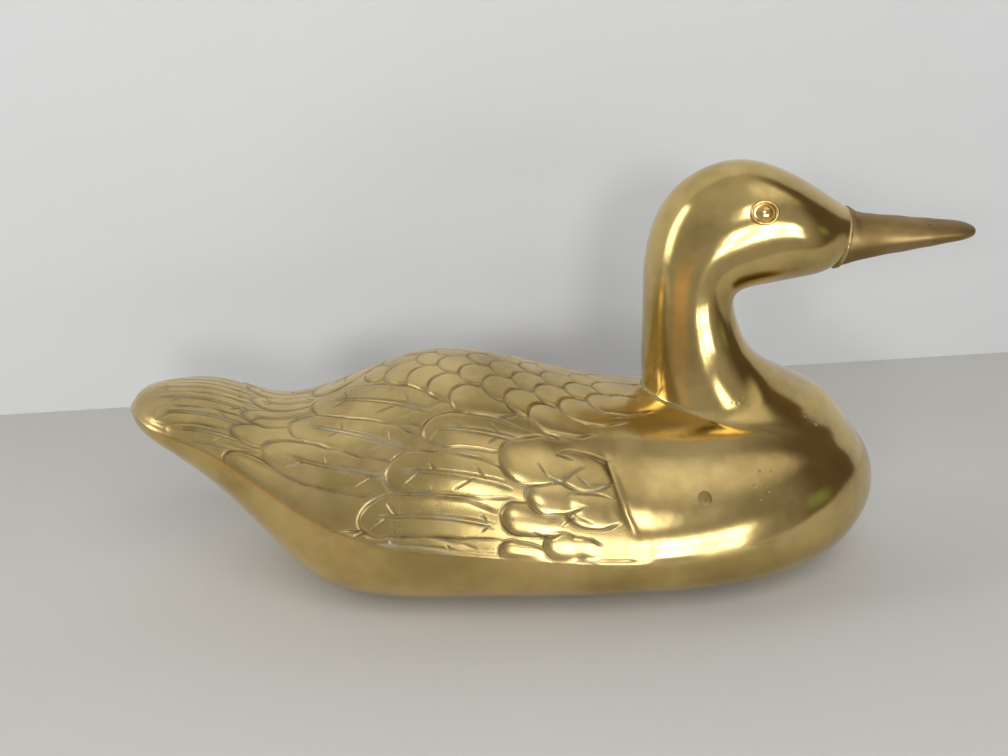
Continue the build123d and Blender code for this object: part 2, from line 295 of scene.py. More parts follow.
def profile_rows(travel):
    """Rows of the body's profile at distances along its outline in plan."""
    return np.stack([np.interp(travel, outline_travel, column) for column in profile.T], 1)


def outline_places(start_x, end_x, step):
    """Evenly spaced distances along the body's outline, between two places in x."""
    start, end = np.interp((start_x, end_x), profile[:, 0], outline_travel)
    return np.linspace(start, end, int((end - start) / step) + 2)


def body_surface(rows, angles):
    """Points of the body for rows of its profile and angles from the top (0) round to the bottom (pi).

    Across: half width times |sin|^(2/n). Up: parting height plus the rise (above) or minus the drop (below)
    times |cos|^(2/n), where n is how square that half is. Nothing reaches below the table.
    """
    x, half_width, rise, drop, parting, square_up, square_low = (rows[:, i:i + 1] for i in range(7))
    upper = angles <= math.pi / 2
    power = 2 / np.where(upper, square_up, square_low)
    across = half_width * np.abs(np.sin(angles)) ** power
    height = np.abs(np.cos(angles)) ** power
    z = parting + np.where(upper, rise, -drop) * height
    return np.stack([np.broadcast_to(x, across.shape), across, np.maximum(z, 0)], 2)


def unit(vectors):
    """Vectors divided by their length."""
    return vectors / np.maximum(np.linalg.norm(vectors, axis=-1, keepdims=True), 1e-12)


def surface_normals(points):
    """Unit normals of a grid of points, the cross product of its two directions."""
    return unit(np.cross(np.gradient(points, axis=0), np.gradient(points, axis=1)))


def curve_coordinates(x, girth, root, bend, tip):
    """Share along a feather's bent centre line, and distance to its side, for points near it.

    The centre line is the quadratic curve from root to tip that bend pulls on. Each point takes the nearest
    of its sampled places, then its distance across the direction there and its overshoot past the tip.
    """
    share = np.linspace(0, 1, curve_samples)[:, None]
    line = (1 - share) ** 2 * root + 2 * share * (1 - share) * bend + share**2 * tip
    step = 2 * (1 - share) * (bend - root) + 2 * share * (tip - bend)
    step /= np.linalg.norm(step, axis=1, keepdims=True)
    length = np.linalg.norm(np.diff(line, axis=0), axis=1).sum()
    away = (x[:, None] - line[None, :, 0]) ** 2 + (girth[:, None] - line[None, :, 1]) ** 2
    near = away.argmin(1)
    dx = x - line[near, 0]
    dg = girth - line[near, 1]
    along = dx * step[near, 0] + dg * step[near, 1]
    side = dx * step[near, 1] - dg * step[near, 0]
    return near / (curve_samples - 1) * length + along, side, length


# Shape of a feather. Shares are of its half width or its length, and pairs are where along it a change
# starts and ends.
box_reach = 2.2                                     # how far it can reach past its ends
long_tip, scale_tip, plump_tip = 1.5, 1.0, 1.1      # length of a long, a scale and a plump feather's tip
root_width, full_width = 0.62, (0.0, 0.45)          # width at the root, and where it widens to the whole
root_lift, full_lift = 0.30, (0.0, 0.9)             # height at the root, and where it rises to the whole
crown_share, crown_fall = 0.65, 0.32                # part of the height that is crowned, and its fall
least_width = 0.1                                   # smallest half width divided by, in pattern millimetres
plump_round = 0.9                                   # width of a plump feather's rounded edge
root_merge = (0.0, 0.35)                            # where it grows out of what lies under it
cut_offset, cut_run = 0.1, (-0.05, 0.25)            # the cut's place inside the outline, and where it starts
cut_even, cut_uneven = 0.62, 0.38                   # even and uneven part of the cut
cut_residue = 0.55                                  # residue left in it

# What lies beside a feather sinks: reach in pattern millimetres, share of its height, and where along it
shade_reach, shade_sink, shade_run = 1.2, 0.35, (0.1, 0.6)

# Feathers of less relief than this lose most of their cut towards the tip
flat_relief, flat_cut_loss, flat_cut_run = 0.3, 0.85, (0.6, 0.92)

# Waves of a feather's outline: height in pattern millimetres, pace along it, share of its seed. Waves of its
# cut's depth: pace along and across it, share of its seed
outline_waves = ((0.16, 0.42, 1.0), (0.07, 0.9, 2.1))
cut_pace, cut_side_pace, cut_seed_share = 0.45, 0.5, 1.7

# Cuts along the shaft: where they start and end, half distance at the tip and what it gains at the root, half
# widths of the cuts and of the ridge between them, and how much of the cut's depth each takes
shaft_start, shaft_end = (0.12, 0.22), (0.80, 0.90)
shaft_gap, shaft_gap_gain = 0.45, 0.55
shaft_width, ridge_width = 0.34, 0.4
ridge_rise, shaft_depth, shaft_groove, shaft_residue = 0.25, 0.75, 0.8, 0.75

# Barbs: first place and spread at the root and at the tip, slant and its spread, reach in half widths and its
# spread, half width of a cut, and where along its reach it fades
barb_root, barb_tip = (0.16, 0.22), (0.62, 0.24)
barb_slant, barb_reach = (0.75, 0.5), (0.45, 0.35)
barb_width, barb_fade = 0.42, 0.6

# How far shaft and barb cuts stay inside the outline and barb cuts off the middle, in pattern millimetres
shaft_margin, barb_margin, barb_start = 0.3, 0.5, 0.3

# A straight cut: box around it by its width and more, depth at its ends and gain in its middle, and the part
# of the sine that makes it
stroke_reach, stroke_margin = 4, 1
stroke_end, stroke_gain, stroke_span = 0.35, 0.65, (0.02, 0.98)

# Numbers that make the even looking sequence of the barbs
jump_pace, jump_seed_pace, jump_spread = 12.9898, 4.1, 43758.5453


def jump_of(number, seed):
    """An even looking number between 0 and 1, the fraction of a large multiple of a sine."""
    spread = math.sin(jump_pace * (number + 1) + jump_seed_pace * seed) * jump_spread
    return spread - math.floor(spread)


class Carving:
    """Height and groove marks of the feathers over one side of the body, in pattern millimetres."""

    def __init__(self, x, girth, sizes):
        self.x = x
        self.girth = girth
        self.sizes = sizes
        self.height = np.zeros_like(x)
        self.groove = np.zeros_like(x)
        self.residue = np.zeros_like(x)

    def near(self, root, tip, reach):
        """Which points lie in the box around a feather."""
        low = np.minimum(root, tip) - reach
        high = np.maximum(root, tip) + reach
        return (self.x > low[0]) & (self.x < high[0]) & (self.girth > low[1]) & (self.girth < high[1])

    def feather(self, root, bend, tip, half_width, relief, shaft, tip_share=long_tip, barbs=0, seed=0,
                plump=False):
        """Lays one feather over what is there.

        Its outline is its half width, narrower at the root and round at the tip. Its height rises from the
        root to the tip, is crowned across and ends in a quarter round edge, and a cut follows the outline.
        """
        root, bend, tip = (np.array(place, float) for place in (root, bend, tip))
        inside = self.near(root, tip, half_width * box_reach)
        x = self.x[inside]
        girth = self.girth[inside]
        travel, side, length = curve_coordinates(x, girth, root, bend, tip)
        share = travel / length
        width = half_width * (root_width + (1 - root_width) * smooth(share, *full_width))
        tip_run = half_width * tip_share
        past = np.maximum(travel - (length - tip_run), 0) / tip_share
        depth = width - np.hypot(side, past)
        depth = np.where(travel < 0, np.minimum(depth, travel), depth)
        depth = depth + sum(size * np.sin(travel * pace + part * seed) for size, pace, part in outline_waves)
        edge = np.clip(depth / (plump_round * half_width if plump else self.sizes.edge_round), 0, 1)
        round_over = np.sqrt(np.clip(1 - (1 - edge) ** 2, 0, 1))
        crown = 1 - crown_fall * (side / np.maximum(width, least_width)) ** 2
        lift = root_lift + (1 - root_lift) * smooth(share, *full_lift)
        merged = smooth(share, *root_merge)
        height = self.sizes.relief * relief * lift * round_over * (1 - crown_share + crown_share * crown)
        covered = depth > 0
        cut = np.exp(-((depth - cut_offset) / self.sizes.cut_width) ** 2) * smooth(share, *cut_run)
        uneven = np.sin(travel * cut_pace + cut_seed_share * seed) * np.sin(side * cut_side_pace + seed)
        cut = cut * (cut_even + cut_uneven * uneven)
        if relief < flat_relief:
            cut = cut * (1 - flat_cut_loss * smooth(share, *flat_cut_run))
        kept = np.where(covered, height * merged + self.height[inside] * (1 - merged), self.height[inside])
        uncovered = np.where(covered, 1 - merged, 1)
        shade = np.exp(-np.clip(-depth, 0, None) / shade_reach) * (1 - covered) * smooth(share, *shade_run)
        kept = kept * (1 - shade_sink * shade)
        self.height[inside] = kept - self.sizes.cut_depth * cut
        self.groove[inside] = np.maximum(uncovered * self.groove[inside], cut)
        self.residue[inside] = np.maximum(uncovered * self.residue[inside], cut_residue * cut)
        if shaft:
            self.shaft(inside, travel, side, length, depth, half_width, barbs, seed)

    def shaft(self, inside, travel, side, length, depth, half_width, barbs, seed):
        """Two fine cuts along the middle of a feather, and short slanting barb cuts near both its ends."""
        share = travel / length
        run = smooth(share, *shaft_start) * (1 - smooth(share, *shaft_end)) * (depth > shaft_margin)
        offset = shaft_gap + shaft_gap_gain * (1 - share)
        marks = np.exp(-((np.abs(side) - offset) / shaft_width) ** 2) * run
        ridge = np.exp(-(side / ridge_width) ** 2) * run
        for number in range(barbs):
            jump = jump_of(number, seed)
            start, slant, reach = (first + spread * jump for first, spread in
                                   (barb_tip if number % 2 else barb_root, barb_slant, barb_reach))
            reach = half_width * reach
            out = side * (-1 if (number // 2) % 2 else 1)
            along = travel - start * length - out * slant
            faded = (out > barb_start) * (1 - smooth(out, reach * barb_fade, reach)) * (depth > barb_margin)
            marks = np.maximum(marks, np.exp(-(along / barb_width) ** 2) * faded)
        self.height[inside] += self.sizes.cut_depth * (ridge_rise * ridge - shaft_depth * marks)
        self.groove[inside] = np.maximum(self.groove[inside], shaft_groove * marks)
        self.residue[inside] = np.maximum(self.residue[inside], shaft_residue * marks)

    def stroke(self, start, end, width, depth, dirt):
        """One straight tapering cut from start to end."""
        start, end = (np.array(place, float) for place in (start, end))
        inside = self.near(start, end, stroke_reach * width + stroke_margin)
        run = end - start
        length = np.linalg.norm(run)
        dx = self.x[inside] - start[0]
        dg = self.girth[inside] - start[1]
        held = np.clip((dx * run[0] + dg * run[1]) / length**2, 0, 1)
        away = np.hypot(dx - held * run[0], dg - held * run[1])
        taper = stroke_end + stroke_gain * np.sin(math.pi * np.clip(held, *stroke_span))
        cut = np.exp(-(away / width) ** 2) * taper
        self.height[inside] -= depth * cut
        self.groove[inside] = np.maximum(self.groove[inside], cut)
        self.residue[inside] = np.maximum(self.residue[inside], dirt * cut)


def scale_rows():
    """Places of the back's scale feathers, from the tail to the neck: tip x, girth of the middle, half width.

    They stand in columns across the back, every other column half a pitch further round, and each column
    leans back with the girth.
    """
    count = int((scale_last_x - scale_first_x) / scale_step) + 1
    for column in range(count):
        tip = scale_first_x + column * scale_step
        share = column / (count - 1)
        pitch = scale_pitch + (scale_pitch_front - scale_pitch) * share
        limit = np.interp(tip, scale_limit_x, scale_limit_girth)
        middle = pitch / 2 if column % 2 else 0.0
        while middle < limit - scale_limit_share * pitch:
            yield tip + scale_lean_share * middle, middle, pitch * scale_width_share
            middle += pitch


# Long feathers that lie under the back's scales: those of the tail and rump, up to these places of their root
tail_root_x, rump_root_x, rump_half_width = -86, -80, 6.7

# Relief of the scales and what they lose towards the neck, and relief of the long feathers over the scales
scale_relief, scale_relief_loss, scale_relief_run = 1.05, 0.55, (-10.0, 22.0)
front_relief = 0.75

# Barb cuts of a long feather under and over the scales, first seeds of the feathers over them and on the
# shoulder, and how much a plump feather bends, in pattern millimetres
rear_barbs, front_barbs = 3, 4
front_seed, shoulder_seed = 20, 40
plump_bend = 1.0

# Small cuts in the corners between scales, and cuts between shoulder feathers: half width, depth, residue
corner_cut = (0.55, 0.35, 1.0)
shoulder_cut = (0.42, 0.19, 0.7)

# The wing's front edge: its girths and their x, where it starts and ends down the side, and the height, place
# and half width of the swell behind it and the hollow along it
wing_front_girth = (44.0, 50.0, 57.0, 66.0, 74.0)
wing_front_x = (9.5, 10.2, 12.0, 14.0, 17.5)
wing_front_start, wing_front_end = (43.0, 50.0), (64.0, 76.0)
wing_front_waves = ((0.25, -3.6, 2.8), (-0.36, 0.0, 1.5))


def carve_side(x, girth, sizes):
    """The whole feather pattern of one side."""
    carving = Carving(x, girth, sizes)
    rear = [row for row in long_feathers
            if row[8] and row[0] < tail_root_x or row[6] < rump_half_width and row[0] < rump_root_x]
    front = [row for row in long_feathers if row not in rear]
    for number, row in enumerate(rear):
        carving.feather(row[0:2], row[2:4], row[4:6], row[6], row[7], row[8], barbs=rear_barbs,
                        seed=number)
    for number, (tip, middle, half_width) in enumerate(scale_rows()):
        root = (tip + half_width * 2 * scale_length_share, middle * scale_root_share)
        bend = (tip + half_width * scale_length_share, middle)
        relief = scale_relief * (1 - scale_relief_loss * smooth(tip, *scale_relief_run))
        carving.feather(root, bend, (tip, middle), half_width, relief, 0, tip_share=scale_tip,
                        seed=number)
        for hand in (-1, 1):
            corner = (tip + half_width * corner_share[0], middle + hand * half_width * corner_share[1])
            if corner[1] > 1:
                end = (corner[0] + corner_run[0], corner[1] + corner_run[1])
                carving.stroke(corner, end, *corner_cut)
    for number, row in enumerate(front):
        carving.feather(row[0:2], row[2:4], row[4:6], row[6], front_relief * row[7], row[8],
                        barbs=front_barbs, seed=number + front_seed)
    for number, row in enumerate(shoulder_feathers):
        bend = ((row[0] + row[2]) / 2, (row[1] + row[3]) / 2 + plump_bend)
        carving.feather(row[0:2], bend, row[2:4], row[4], row[5], 0, tip_share=plump_tip,
                        seed=number + shoulder_seed, plump=True)
    for row in shoulder_strokes:
        carving.stroke(row[0:2], row[2:4], *shoulder_cut)
    wing_front(carving)
    return carving


def wing_front(carving):
    """The step where the folded wing's front edge stands proud of the breast, a shallow straight hollow."""
    away = carving.x - np.interp(carving.girth, wing_front_girth, wing_front_x)
    held = smooth(carving.girth, *wing_front_start) * (1 - smooth(carving.girth, *wing_front_end))
    for height, place, half_width in wing_front_waves:
        carving.height += held * height * np.exp(-((away - place) / half_width) ** 2)


def head_rib_rows():
    """Dense rows of the head's rib shares, one spline through all the ribs."""
    ribs = head_ribs_share
    reach = np.sqrt((np.diff(ribs[:, :4], axis=0) ** 2).sum(1))
    knots = np.concatenate([[0], np.cumsum(np.sqrt(reach))])
    return cubic_rows(knots, ribs, np.linspace(0, knots[-1], rib_samples)), knots


def neck_ovals():
    """Height, middle, half length and half width of the neck's nearly level ribs, from the foot up."""
    shares, knots = head_rib_rows()
    rows = shares[:int(rib_samples * knots[neck_last_rib] / knots[-1])]
    middle_share = (rows[:, 0:2] + rows[:, 2:4]) / 2
    z = neck_foot_z + middle_share[:, 1] * head_rise
    middle = neck_back_x + middle_share[:, 0] * head_reach
    half_length = (rows[:, 0] - rows[:, 2]) / 2 * head_reach
    return z, middle, half_length, rows[:, 4] * head_half_width


# The neck's ribs as ovals
ovals = neck_ovals()

# How far the neck's foot melts into the body, behind, beside and in front of it, in metres, how far above the
# foot's lowest rib the body starts to rise, and the rounds in which the rise is worked out
melt_back = 0.0012
melt_side = 0.0045
melt_front = 0.020
melt_from, melt_whole = 0.006, 0.018
melt_rounds = 12

# Where the melt's reach changes, by how far ahead of or behind the neck's middle a place lies, and where the
# normals turn to the melt's, by the rise as a share of its reach
melt_front_run, melt_back_run, melt_normal_run = (0.0, 0.9), (0.1, 0.7), (0.0, 0.10)


def neck_level_gap(points):
    """Level distance from points to the neck's oval at their height, the way outwards, and how far ahead."""
    z, middle, half_length, half_width = ovals
    height = points[..., 2]
    dx = points[..., 0] - np.interp(height, z, middle)
    dy = points[..., 1]
    long = np.interp(height, z, half_length)
    wide = np.interp(height, z, half_width)
    ring = np.maximum(np.hypot(dx / long, dy / wide), tiny)
    away = np.hypot(dx, dy)
    steep = np.maximum(np.hypot(dx / long**2, dy / wide**2), tiny)
    gap = (ring - 1) * ring / steep
    gap = np.where(ring > 1, np.minimum(gap, away), gap)
    return gap, dx / long**2 / steep, dy / wide**2 / steep, dx / long / ring


def neck_gap(points):
    """Distance from points to the neck's skin, its normal there, and the reach of the melt."""
    gap, out_x, out_y, ahead = neck_level_gap(points)
    slope = (neck_level_gap(points + np.array([0, 0, slope_step]))[0] - gap) / slope_step
    normal = np.stack([out_x, out_y, slope], -1)
    size = np.linalg.norm(normal, axis=-1)
    melt = melt_side + (melt_front - melt_side) * smooth(ahead, *melt_front_run)
    melt = melt + (melt_back - melt_side) * smooth(-ahead, *melt_back_run)
    return gap / size, normal / size[..., None], melt


def melt_height(gap, facing, melt):
    """How far a surface rises to melt into another one.

    The rise h solves h = (k - |h - b|)^2 / 4k, where b, the distance to the other surface, grows with h by
    the cosine between the two surfaces' normals, and k is the reach of the melt. It is zero from k on.
    """
    rise = np.zeros_like(gap)
    for _ in range(melt_rounds):
        rise = np.maximum(melt - np.abs(rise - gap - facing * rise), 0) ** 2 / (4 * melt)
    return rise


def body_top(x, y):
    """Height of the back over a place in plan."""
    half_width, rise, parting, square = (np.interp(x, profile[:, 0], profile[:, i]) for i in (1, 2, 4, 5))
    share = np.clip(np.abs(y) / np.maximum(half_width, tiny), 0, 1)
    return parting + rise * (1 - share**square) ** (1 / square)


def melted(normals, gap, other_normals, melt, held):
    """Rise of a skin that melts into another one, and its normals there.

    The normals pass from its own to the other skin's with the share 1/2 + (d1 - d2) / 2k of the two
    distances, which is the slope of the smooth minimum of both.
    """
    facing = (normals * other_normals).sum(-1)
    rise = melt_height(gap, facing, melt) * held
    share = np.clip(0.5 + (rise - gap - facing * rise) / (2 * melt), 0, 1)[..., None]
    turned = unit(normals * (1 - share) + other_normals * share)
    return rise, turned, smooth(rise / melt, *melt_normal_run)[..., None]


def melt_into_neck(points, normals):
    """How the back and breast rise around the foot of the neck."""
    gap, outward, melt = neck_gap(points)
    held = smooth(points[..., 2], neck_foot_z + melt_from, neck_foot_z + melt_whole)
    return melted(normals, gap, outward, melt, held)


def melt_into_body(points, normals):
    """How the foot of the neck rises where it meets the back and breast."""
    x, y, z = np.moveaxis(points, -1, 0)
    height = body_top(x, y)
    slope_x = (body_top(x + slope_step, y) - height) / slope_step
    slope_y = (body_top(x, np.abs(y) + slope_step) - height) / slope_step * np.sign(y)
    upward = unit(np.stack([-slope_x, -slope_y, np.ones_like(slope_x)], -1))
    gap = (z - height) * upward[..., 2]
    return melted(normals, gap, upward, neck_gap(points)[2], 1.0)


def blend_normals(points, turned, share):
    """Normals of a skin, which give way to the melt's own where it has risen."""
    return unit(surface_normals(points) * (1 - share) + turned * share)


# Waves of the polish: size in metres and number, on the breast, the hull, the head and the bill
breast_waves, hull_waves, head_waves, bill_waves = (0.034, 5), (0.045, 4), (0.030, 5), (0.016, 4)

# From one wave to the next: its turn, its largest tilt and the tilt's pace, and its shift, in radians. Then
# the first wave's length and what each next one gains, by the size
wave_turn, wave_tilt, wave_tilt_pace, wave_shift = 2.4, 0.9, 1.7, 1.3
wave_first, wave_gain = 0.7, 0.19


def ripple(points, size, waves):
    """Slow uneven waves of a hand polished casting: the mean of sines across turned and tilted directions."""
    total = np.zeros(points.shape[:-1])
    for number in range(waves):
        turn = wave_turn * number
        tilt = wave_tilt * math.sin(wave_tilt_pace * number)
        way = np.array([math.cos(turn) * math.cos(tilt), math.sin(turn) * math.cos(tilt), math.sin(tilt)])
        pace = 2 * math.pi / (size * (wave_first + wave_gain * number))
        total += np.sin(points @ way * pace + wave_shift * number)
    return total / waves


def both_sides(points, mirror=(1, -1, 1)):
    """Joins a left side's columns, which start at the middle line, to their mirror image on the right."""
    return np.concatenate([points[:, :0:-1] * np.array(mirror), points], 1)


def grid_faces(rows, columns, wrap):
    """Four-sided faces of a grid of points, as rows of point numbers."""
    down = np.arange(rows - 1)[:, None] * columns
    across = np.arange(columns if wrap else columns - 1)[None]
    right = (across + 1) % columns
    corners = [down + across, down + columns + across, down + columns + right, down + right]
    return np.stack(corners, -1).reshape(-1, 4)


def mesh_piece(name, points, normals=None, values=None, wrap=False, poles=(False, False)):
    """Makes an object of a grid of points. Along the rows and then along the columns turns to the outside.

    wrap joins the last column to the first. A pole merges the first or the last row into one point and makes
    its faces triangles. values are numbers at the points, kept as attributes for the materials.
    """
    rows, columns = points.shape[:2]
    numbers = np.arange(rows * columns).reshape(rows, columns)
    if poles[0]:
        numbers[0] = 0
    if poles[1]:
        numbers[-1] = numbers[-1, 0]
    used = np.unique(numbers)
    lookup = np.zeros(rows * columns, int)
    lookup[used] = np.arange(len(used))
    faces = lookup[numbers.ravel()[grid_faces(rows, columns, wrap)]].tolist()
    if any(poles):
        faces = [list(dict.fromkeys(face)) for face in faces]
    mesh = bpy.data.meshes.new(name)
    mesh.from_pydata(points.reshape(-1, 3)[used].tolist(), [], faces)
    for label, number in (values or {}).items():
        layer = mesh.attributes.new(label, "FLOAT", "POINT")
        layer.data.foreach_set("value", np.ascontiguousarray(number.reshape(-1)[used], np.float32))
    mesh.shade_smooth()
    if normals is not None:
        mesh.normals_split_custom_set_from_vertices(normals.reshape(-1, 3)[used].tolist())
    piece = bpy.data.objects.new(name, mesh)
    bpy.context.scene.collection.objects.link(piece)
    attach(piece, "root")
    return piece


def dress(piece, material, nodes=()):
    """Gives a piece its material and slot, and hides the solids that it stands for."""
    piece.data.materials.append(material)
    if nodes:
        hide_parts(*nodes)


# Half height of the filler metal's strip between the two castings, in metres, and its largest half angle
seam_half_height, seam_angle_limit = 0.0005, 0.25

# Points across one side of the upper casting, one side of the hull and the strip
casting_columns, hull_columns, seam_columns = 236, 90, 7

# Where the feathers fade into the breast and the breast's waves start, by pattern x, how far they stay off
# the seam, by girth, and where they fade at the two ends, by share of the outline's length
pattern_fade, breast_wave_start, satin_fade = (12.0, 24.0), (8.0, 24.0), (6.0, 20.0)
seam_fade = (0.0, 2.5)
tail_sink_fade, tail_fade, breast_fade = (0.0, 0.02), (0.0, 0.012), (0.985, 1.0)

# Where the hull's waves fade: at its ends and at the seam, by shares, and at the table, by height in metres
hull_tail_fade, hull_breast_fade, hull_seam_fade = (0.0, 0.03), (0.97, 1.0), (0.0, 0.06)
hull_table_fade = (0.0015, 0.008)


def seam_angle(rows, upper):
    """Angle from the widest line to the strip's edge, row by row."""
    reach = rows[:, 2:3] if upper else rows[:, 3:4]
    return np.clip(seam_half_height / np.maximum(reach, tiny), 0, seam_angle_limit)


def upper_surface(travel, shape):
    """Left half of the upper casting with its feathers, its normals and the marks for its material.

    The feathers rise along the smooth body's normals from a little under its skin. They fade at the tail tip,
    the breast and the seam, and the skin rises around the foot of the neck.
    """
    rows = profile_rows(travel)
    share = np.linspace(0, 1, casting_columns)[None]
    points = body_surface(rows, share * (math.pi / 2 - seam_angle(rows, True)))
    normals = surface_normals(points)
    normals[:, 0, 1] = 0
    steps = np.linalg.norm(np.diff(points, axis=1), axis=2) * 1000 / pattern_unit
    girth = np.concatenate([np.zeros((len(rows), 1)), np.cumsum(steps, 1)], 1)
    x = (points[..., 0] - tail_x) * 1000 / pattern_unit + pattern_tail_x
    carving = carve_side(x, girth, shape)
    along = (travel / outline_travel[-1])[:, None]
    in_pattern = (1 - smooth(x, *pattern_fade)) * smooth(along, *tail_sink_fade)
    ends = smooth(along, *tail_fade) * (1 - smooth(along, *breast_fade))
    held = smooth(girth[:, -1:] - girth, *seam_fade) * ends
    rise = (carving.height - shape.sink * in_pattern) * held * pattern_unit / 1000
    rise += shape.ripple * ripple(points, *breast_waves) * held * smooth(x, *breast_wave_start)
    melt_rise, turned, share = melt_into_neck(points, normals)
    points = points + normals * (rise + melt_rise)[..., None]
    points[..., 1] = np.minimum(points[..., 1], body_width / 2)
    points[:, 0, 1] = 0
    normals = blend_normals(points, turned, share)
    normals[:, 0, 1] = 0
    values = {"groove": np.clip(carving.groove, 0, 1), "residue": np.clip(carving.residue, 0, 1),
              "satin": 1 - smooth(x, *satin_fade)}
    return points * inset, face_ends(normals), values


def face_ends(normals):
    """Turns the normals at the tail tip and the breast tip along the body."""
    normals[0] = (-1, 0, 0)
    normals[-1] = (1, 0, 0)
    return normals


# Slices of the upper casting, from the tail to the breast
upper_slices = ("tail", "rump", "back", "shoulders", "breast")


def build_upper_casting(shape, material):
    """Upper casting, in slices along the body that meet point for point. The last is the coarser breast."""
    fine = outline_places(tail_x, breast_start_x, fine_step)
    coarse = outline_places(breast_start_x, tail_x + body_length, breast_step)
    points, normals, values = upper_surface(np.concatenate([fine, coarse[1:]]), shape)
    points, normals = both_sides(points), both_sides(normals)
    values = {label: both_sides(number, 1) for label, number in values.items()}
    last = len(upper_slices) - 1
    cuts = [round(len(fine) * number / last) for number in range(last)] + [len(fine) - 1, len(points) - 1]
    for number, name in enumerate(upper_slices):
        rows = slice(cuts[number], cuts[number + 1] + 1)
        piece = mesh_piece(f"upper_body_{name}", points[rows], normals[rows],
                           {label: mark[rows] for label, mark in values.items()},
                           poles=(number == 0, number == last))
        dress(piece, material, ("upper_body",))


def build_lower_casting(shape, material):
    """Lower casting under the widest line, and the strip of filler metal between the castings."""
    travel = outline_places(tail_x, tail_x + body_length, breast_step)
    rows = profile_rows(travel)
    share = np.linspace(0, 1, hull_columns)[None]
    start = math.pi / 2 + seam_angle(rows, False)
    points = body_surface(rows, start + share * (math.pi - start))
    normals = surface_normals(points)
    points[:, -1, 1] = 0
    normals[:, -1, 1] = 0
    along = (travel / outline_travel[-1])[:, None]
    held = smooth(along, *hull_tail_fade) * (1 - smooth(along, *hull_breast_fade))
    held = held * smooth(share, *hull_seam_fade) * smooth(points[..., 2], *hull_table_fade)
    points += normals * (shape.ripple * ripple(points, *hull_waves) * held)[..., None]
    normals = surface_normals(points)
    normals[:, -1, 1] = 0
    skin, skin_normals = (both_sides(grid[:, ::-1])[:, ::-1] for grid in (points * inset, face_ends(normals)))
    hull = mesh_piece("lower_hull_skin", skin, skin_normals, poles=(True, True))
    dress(hull, material, ("lower_hull",))
    edge = np.linspace(-1, 1, seam_columns)[None]
    angles = math.pi / 2 + np.where(edge < 0, seam_angle(rows, True), seam_angle(rows, False)) * edge
    strip = body_surface(rows, angles) * inset
    strip_normals = surface_normals(strip)
    for side, hand in both_hands:
        skin, skin_normals = ((grid * np.array([1, hand, 1]))[:, ::hand] for grid in (strip, strip_normals))
        piece = mesh_piece(f"hull_seam_{side}", skin, skin_normals)
        dress(piece, material, ("hull_braze_seam",))


def head_point(share_x, share_z):
    """Place in the middle plane for shares of the head's reach and rise."""
    return neck_back_x + share_x * head_reach, neck_foot_z + share_z * head_rise


# Points along and round the head and the bill
head_rows, head_columns = 420, 190
bill_rows, bill_columns = 170, 110

# The head's waves lean inwards by this share, so that the crown stays inside the solid's box, and fade at the
# bill, by the share of the rows
head_wave_bias, head_end_fade = 0.6, (0.96, 1.0)


def head_surface(shape):
    """Head and neck: an oval on every rib, which turns from level at the neck's foot to upright at the bill.

    Middle of the oval plus the cosine of the turn times half the rib, and sideways the sine of the turn times
    the half width. The foot rises where it melts into the body.
    """
    dense, _ = head_rib_rows()
    travel = np.concatenate([[0], np.cumsum(np.linalg.norm(np.diff(dense[:, :4], axis=0), axis=1))])
    places = np.linspace(0, travel[-1], head_rows)
    rows = np.stack([np.interp(places, travel, column) for column in dense.T], 1)
    front_x, front_z = head_point(rows[:, 0:1], rows[:, 1:2])
    back_x, back_z = head_point(rows[:, 2:3], rows[:, 3:4])
    half_width = rows[:, 4:5] * head_half_width
    turn = np.linspace(0, -2 * math.pi, head_columns, endpoint=False)[None]
    reach = (1 + np.cos(turn)) / 2
    points = np.stack([back_x + (front_x - back_x) * reach, half_width * np.sin(turn),
                       back_z + (front_z - back_z) * reach], 2)
    normals = wrapped_normals(points)
    end = 1 - smooth(np.linspace(0, 1, head_rows), *head_end_fade)[:, None]
    rise, turned, share = melt_into_body(points, normals)
    rise = rise + shape.ripple * (ripple(points, *head_waves) - head_wave_bias) * end
    points = points + normals * rise[..., None]
    return points * inset, unit(wrapped_normals(points) * (1 - share) + turned * share)


def wrapped_normals(points):
    """Normals of a grid whose last column joins its first."""
    wide = np.concatenate([points[:, -1:], points, points[:, :1]], 1)
    return surface_normals(wide)[:, 1:-1]


# Sizes of the rows that close the end of a tube, from its last row to its middle
cap_shares = (0.8, 0.4, 0.0)


def capped(points):
    """Closes a tube of ovals with flat ends, its first and last row drawn in to their middle."""
    first, last = points[0].mean(0), points[-1].mean(0)
    return np.concatenate([[first + (points[0] - first) * share for share in reversed(cap_shares)], points,
                           [last + (points[-1] - last) * share for share in cap_shares]])


def tube(path, radius, sides):
    """Closed tube: a circle carried round a closed path, in the planes of the path's two normals."""
    along = unit(np.roll(path, -1, 0) - np.roll(path, 1, 0))
    out = path - path.mean(0)
    out = unit(out - (out * along).sum(1, keepdims=True) * along)
    up = np.cross(along, out)
    turn = np.linspace(0, 2 * math.pi, sides, endpoint=False)
    ring = out[:, None] * np.cos(turn)[None, :, None] + up[:, None] * np.sin(turn)[None, :, None]
    return path[:, None] + ring * np.broadcast_to(radius, len(path))[:, None, None]


def ring_piece(name, points):
    """Makes a piece of a tube that closes on itself."""
    return mesh_piece(name, np.concatenate([points, points[:1]])[:, ::-1], wrap=True)


# Directions that the closed ends of the head's skin face, under the neck's foot and inside the bill's root
neck_end_way, bill_end_way = (-0.3, 0.0, -1.0), (1.0, 0.0, 0.1)

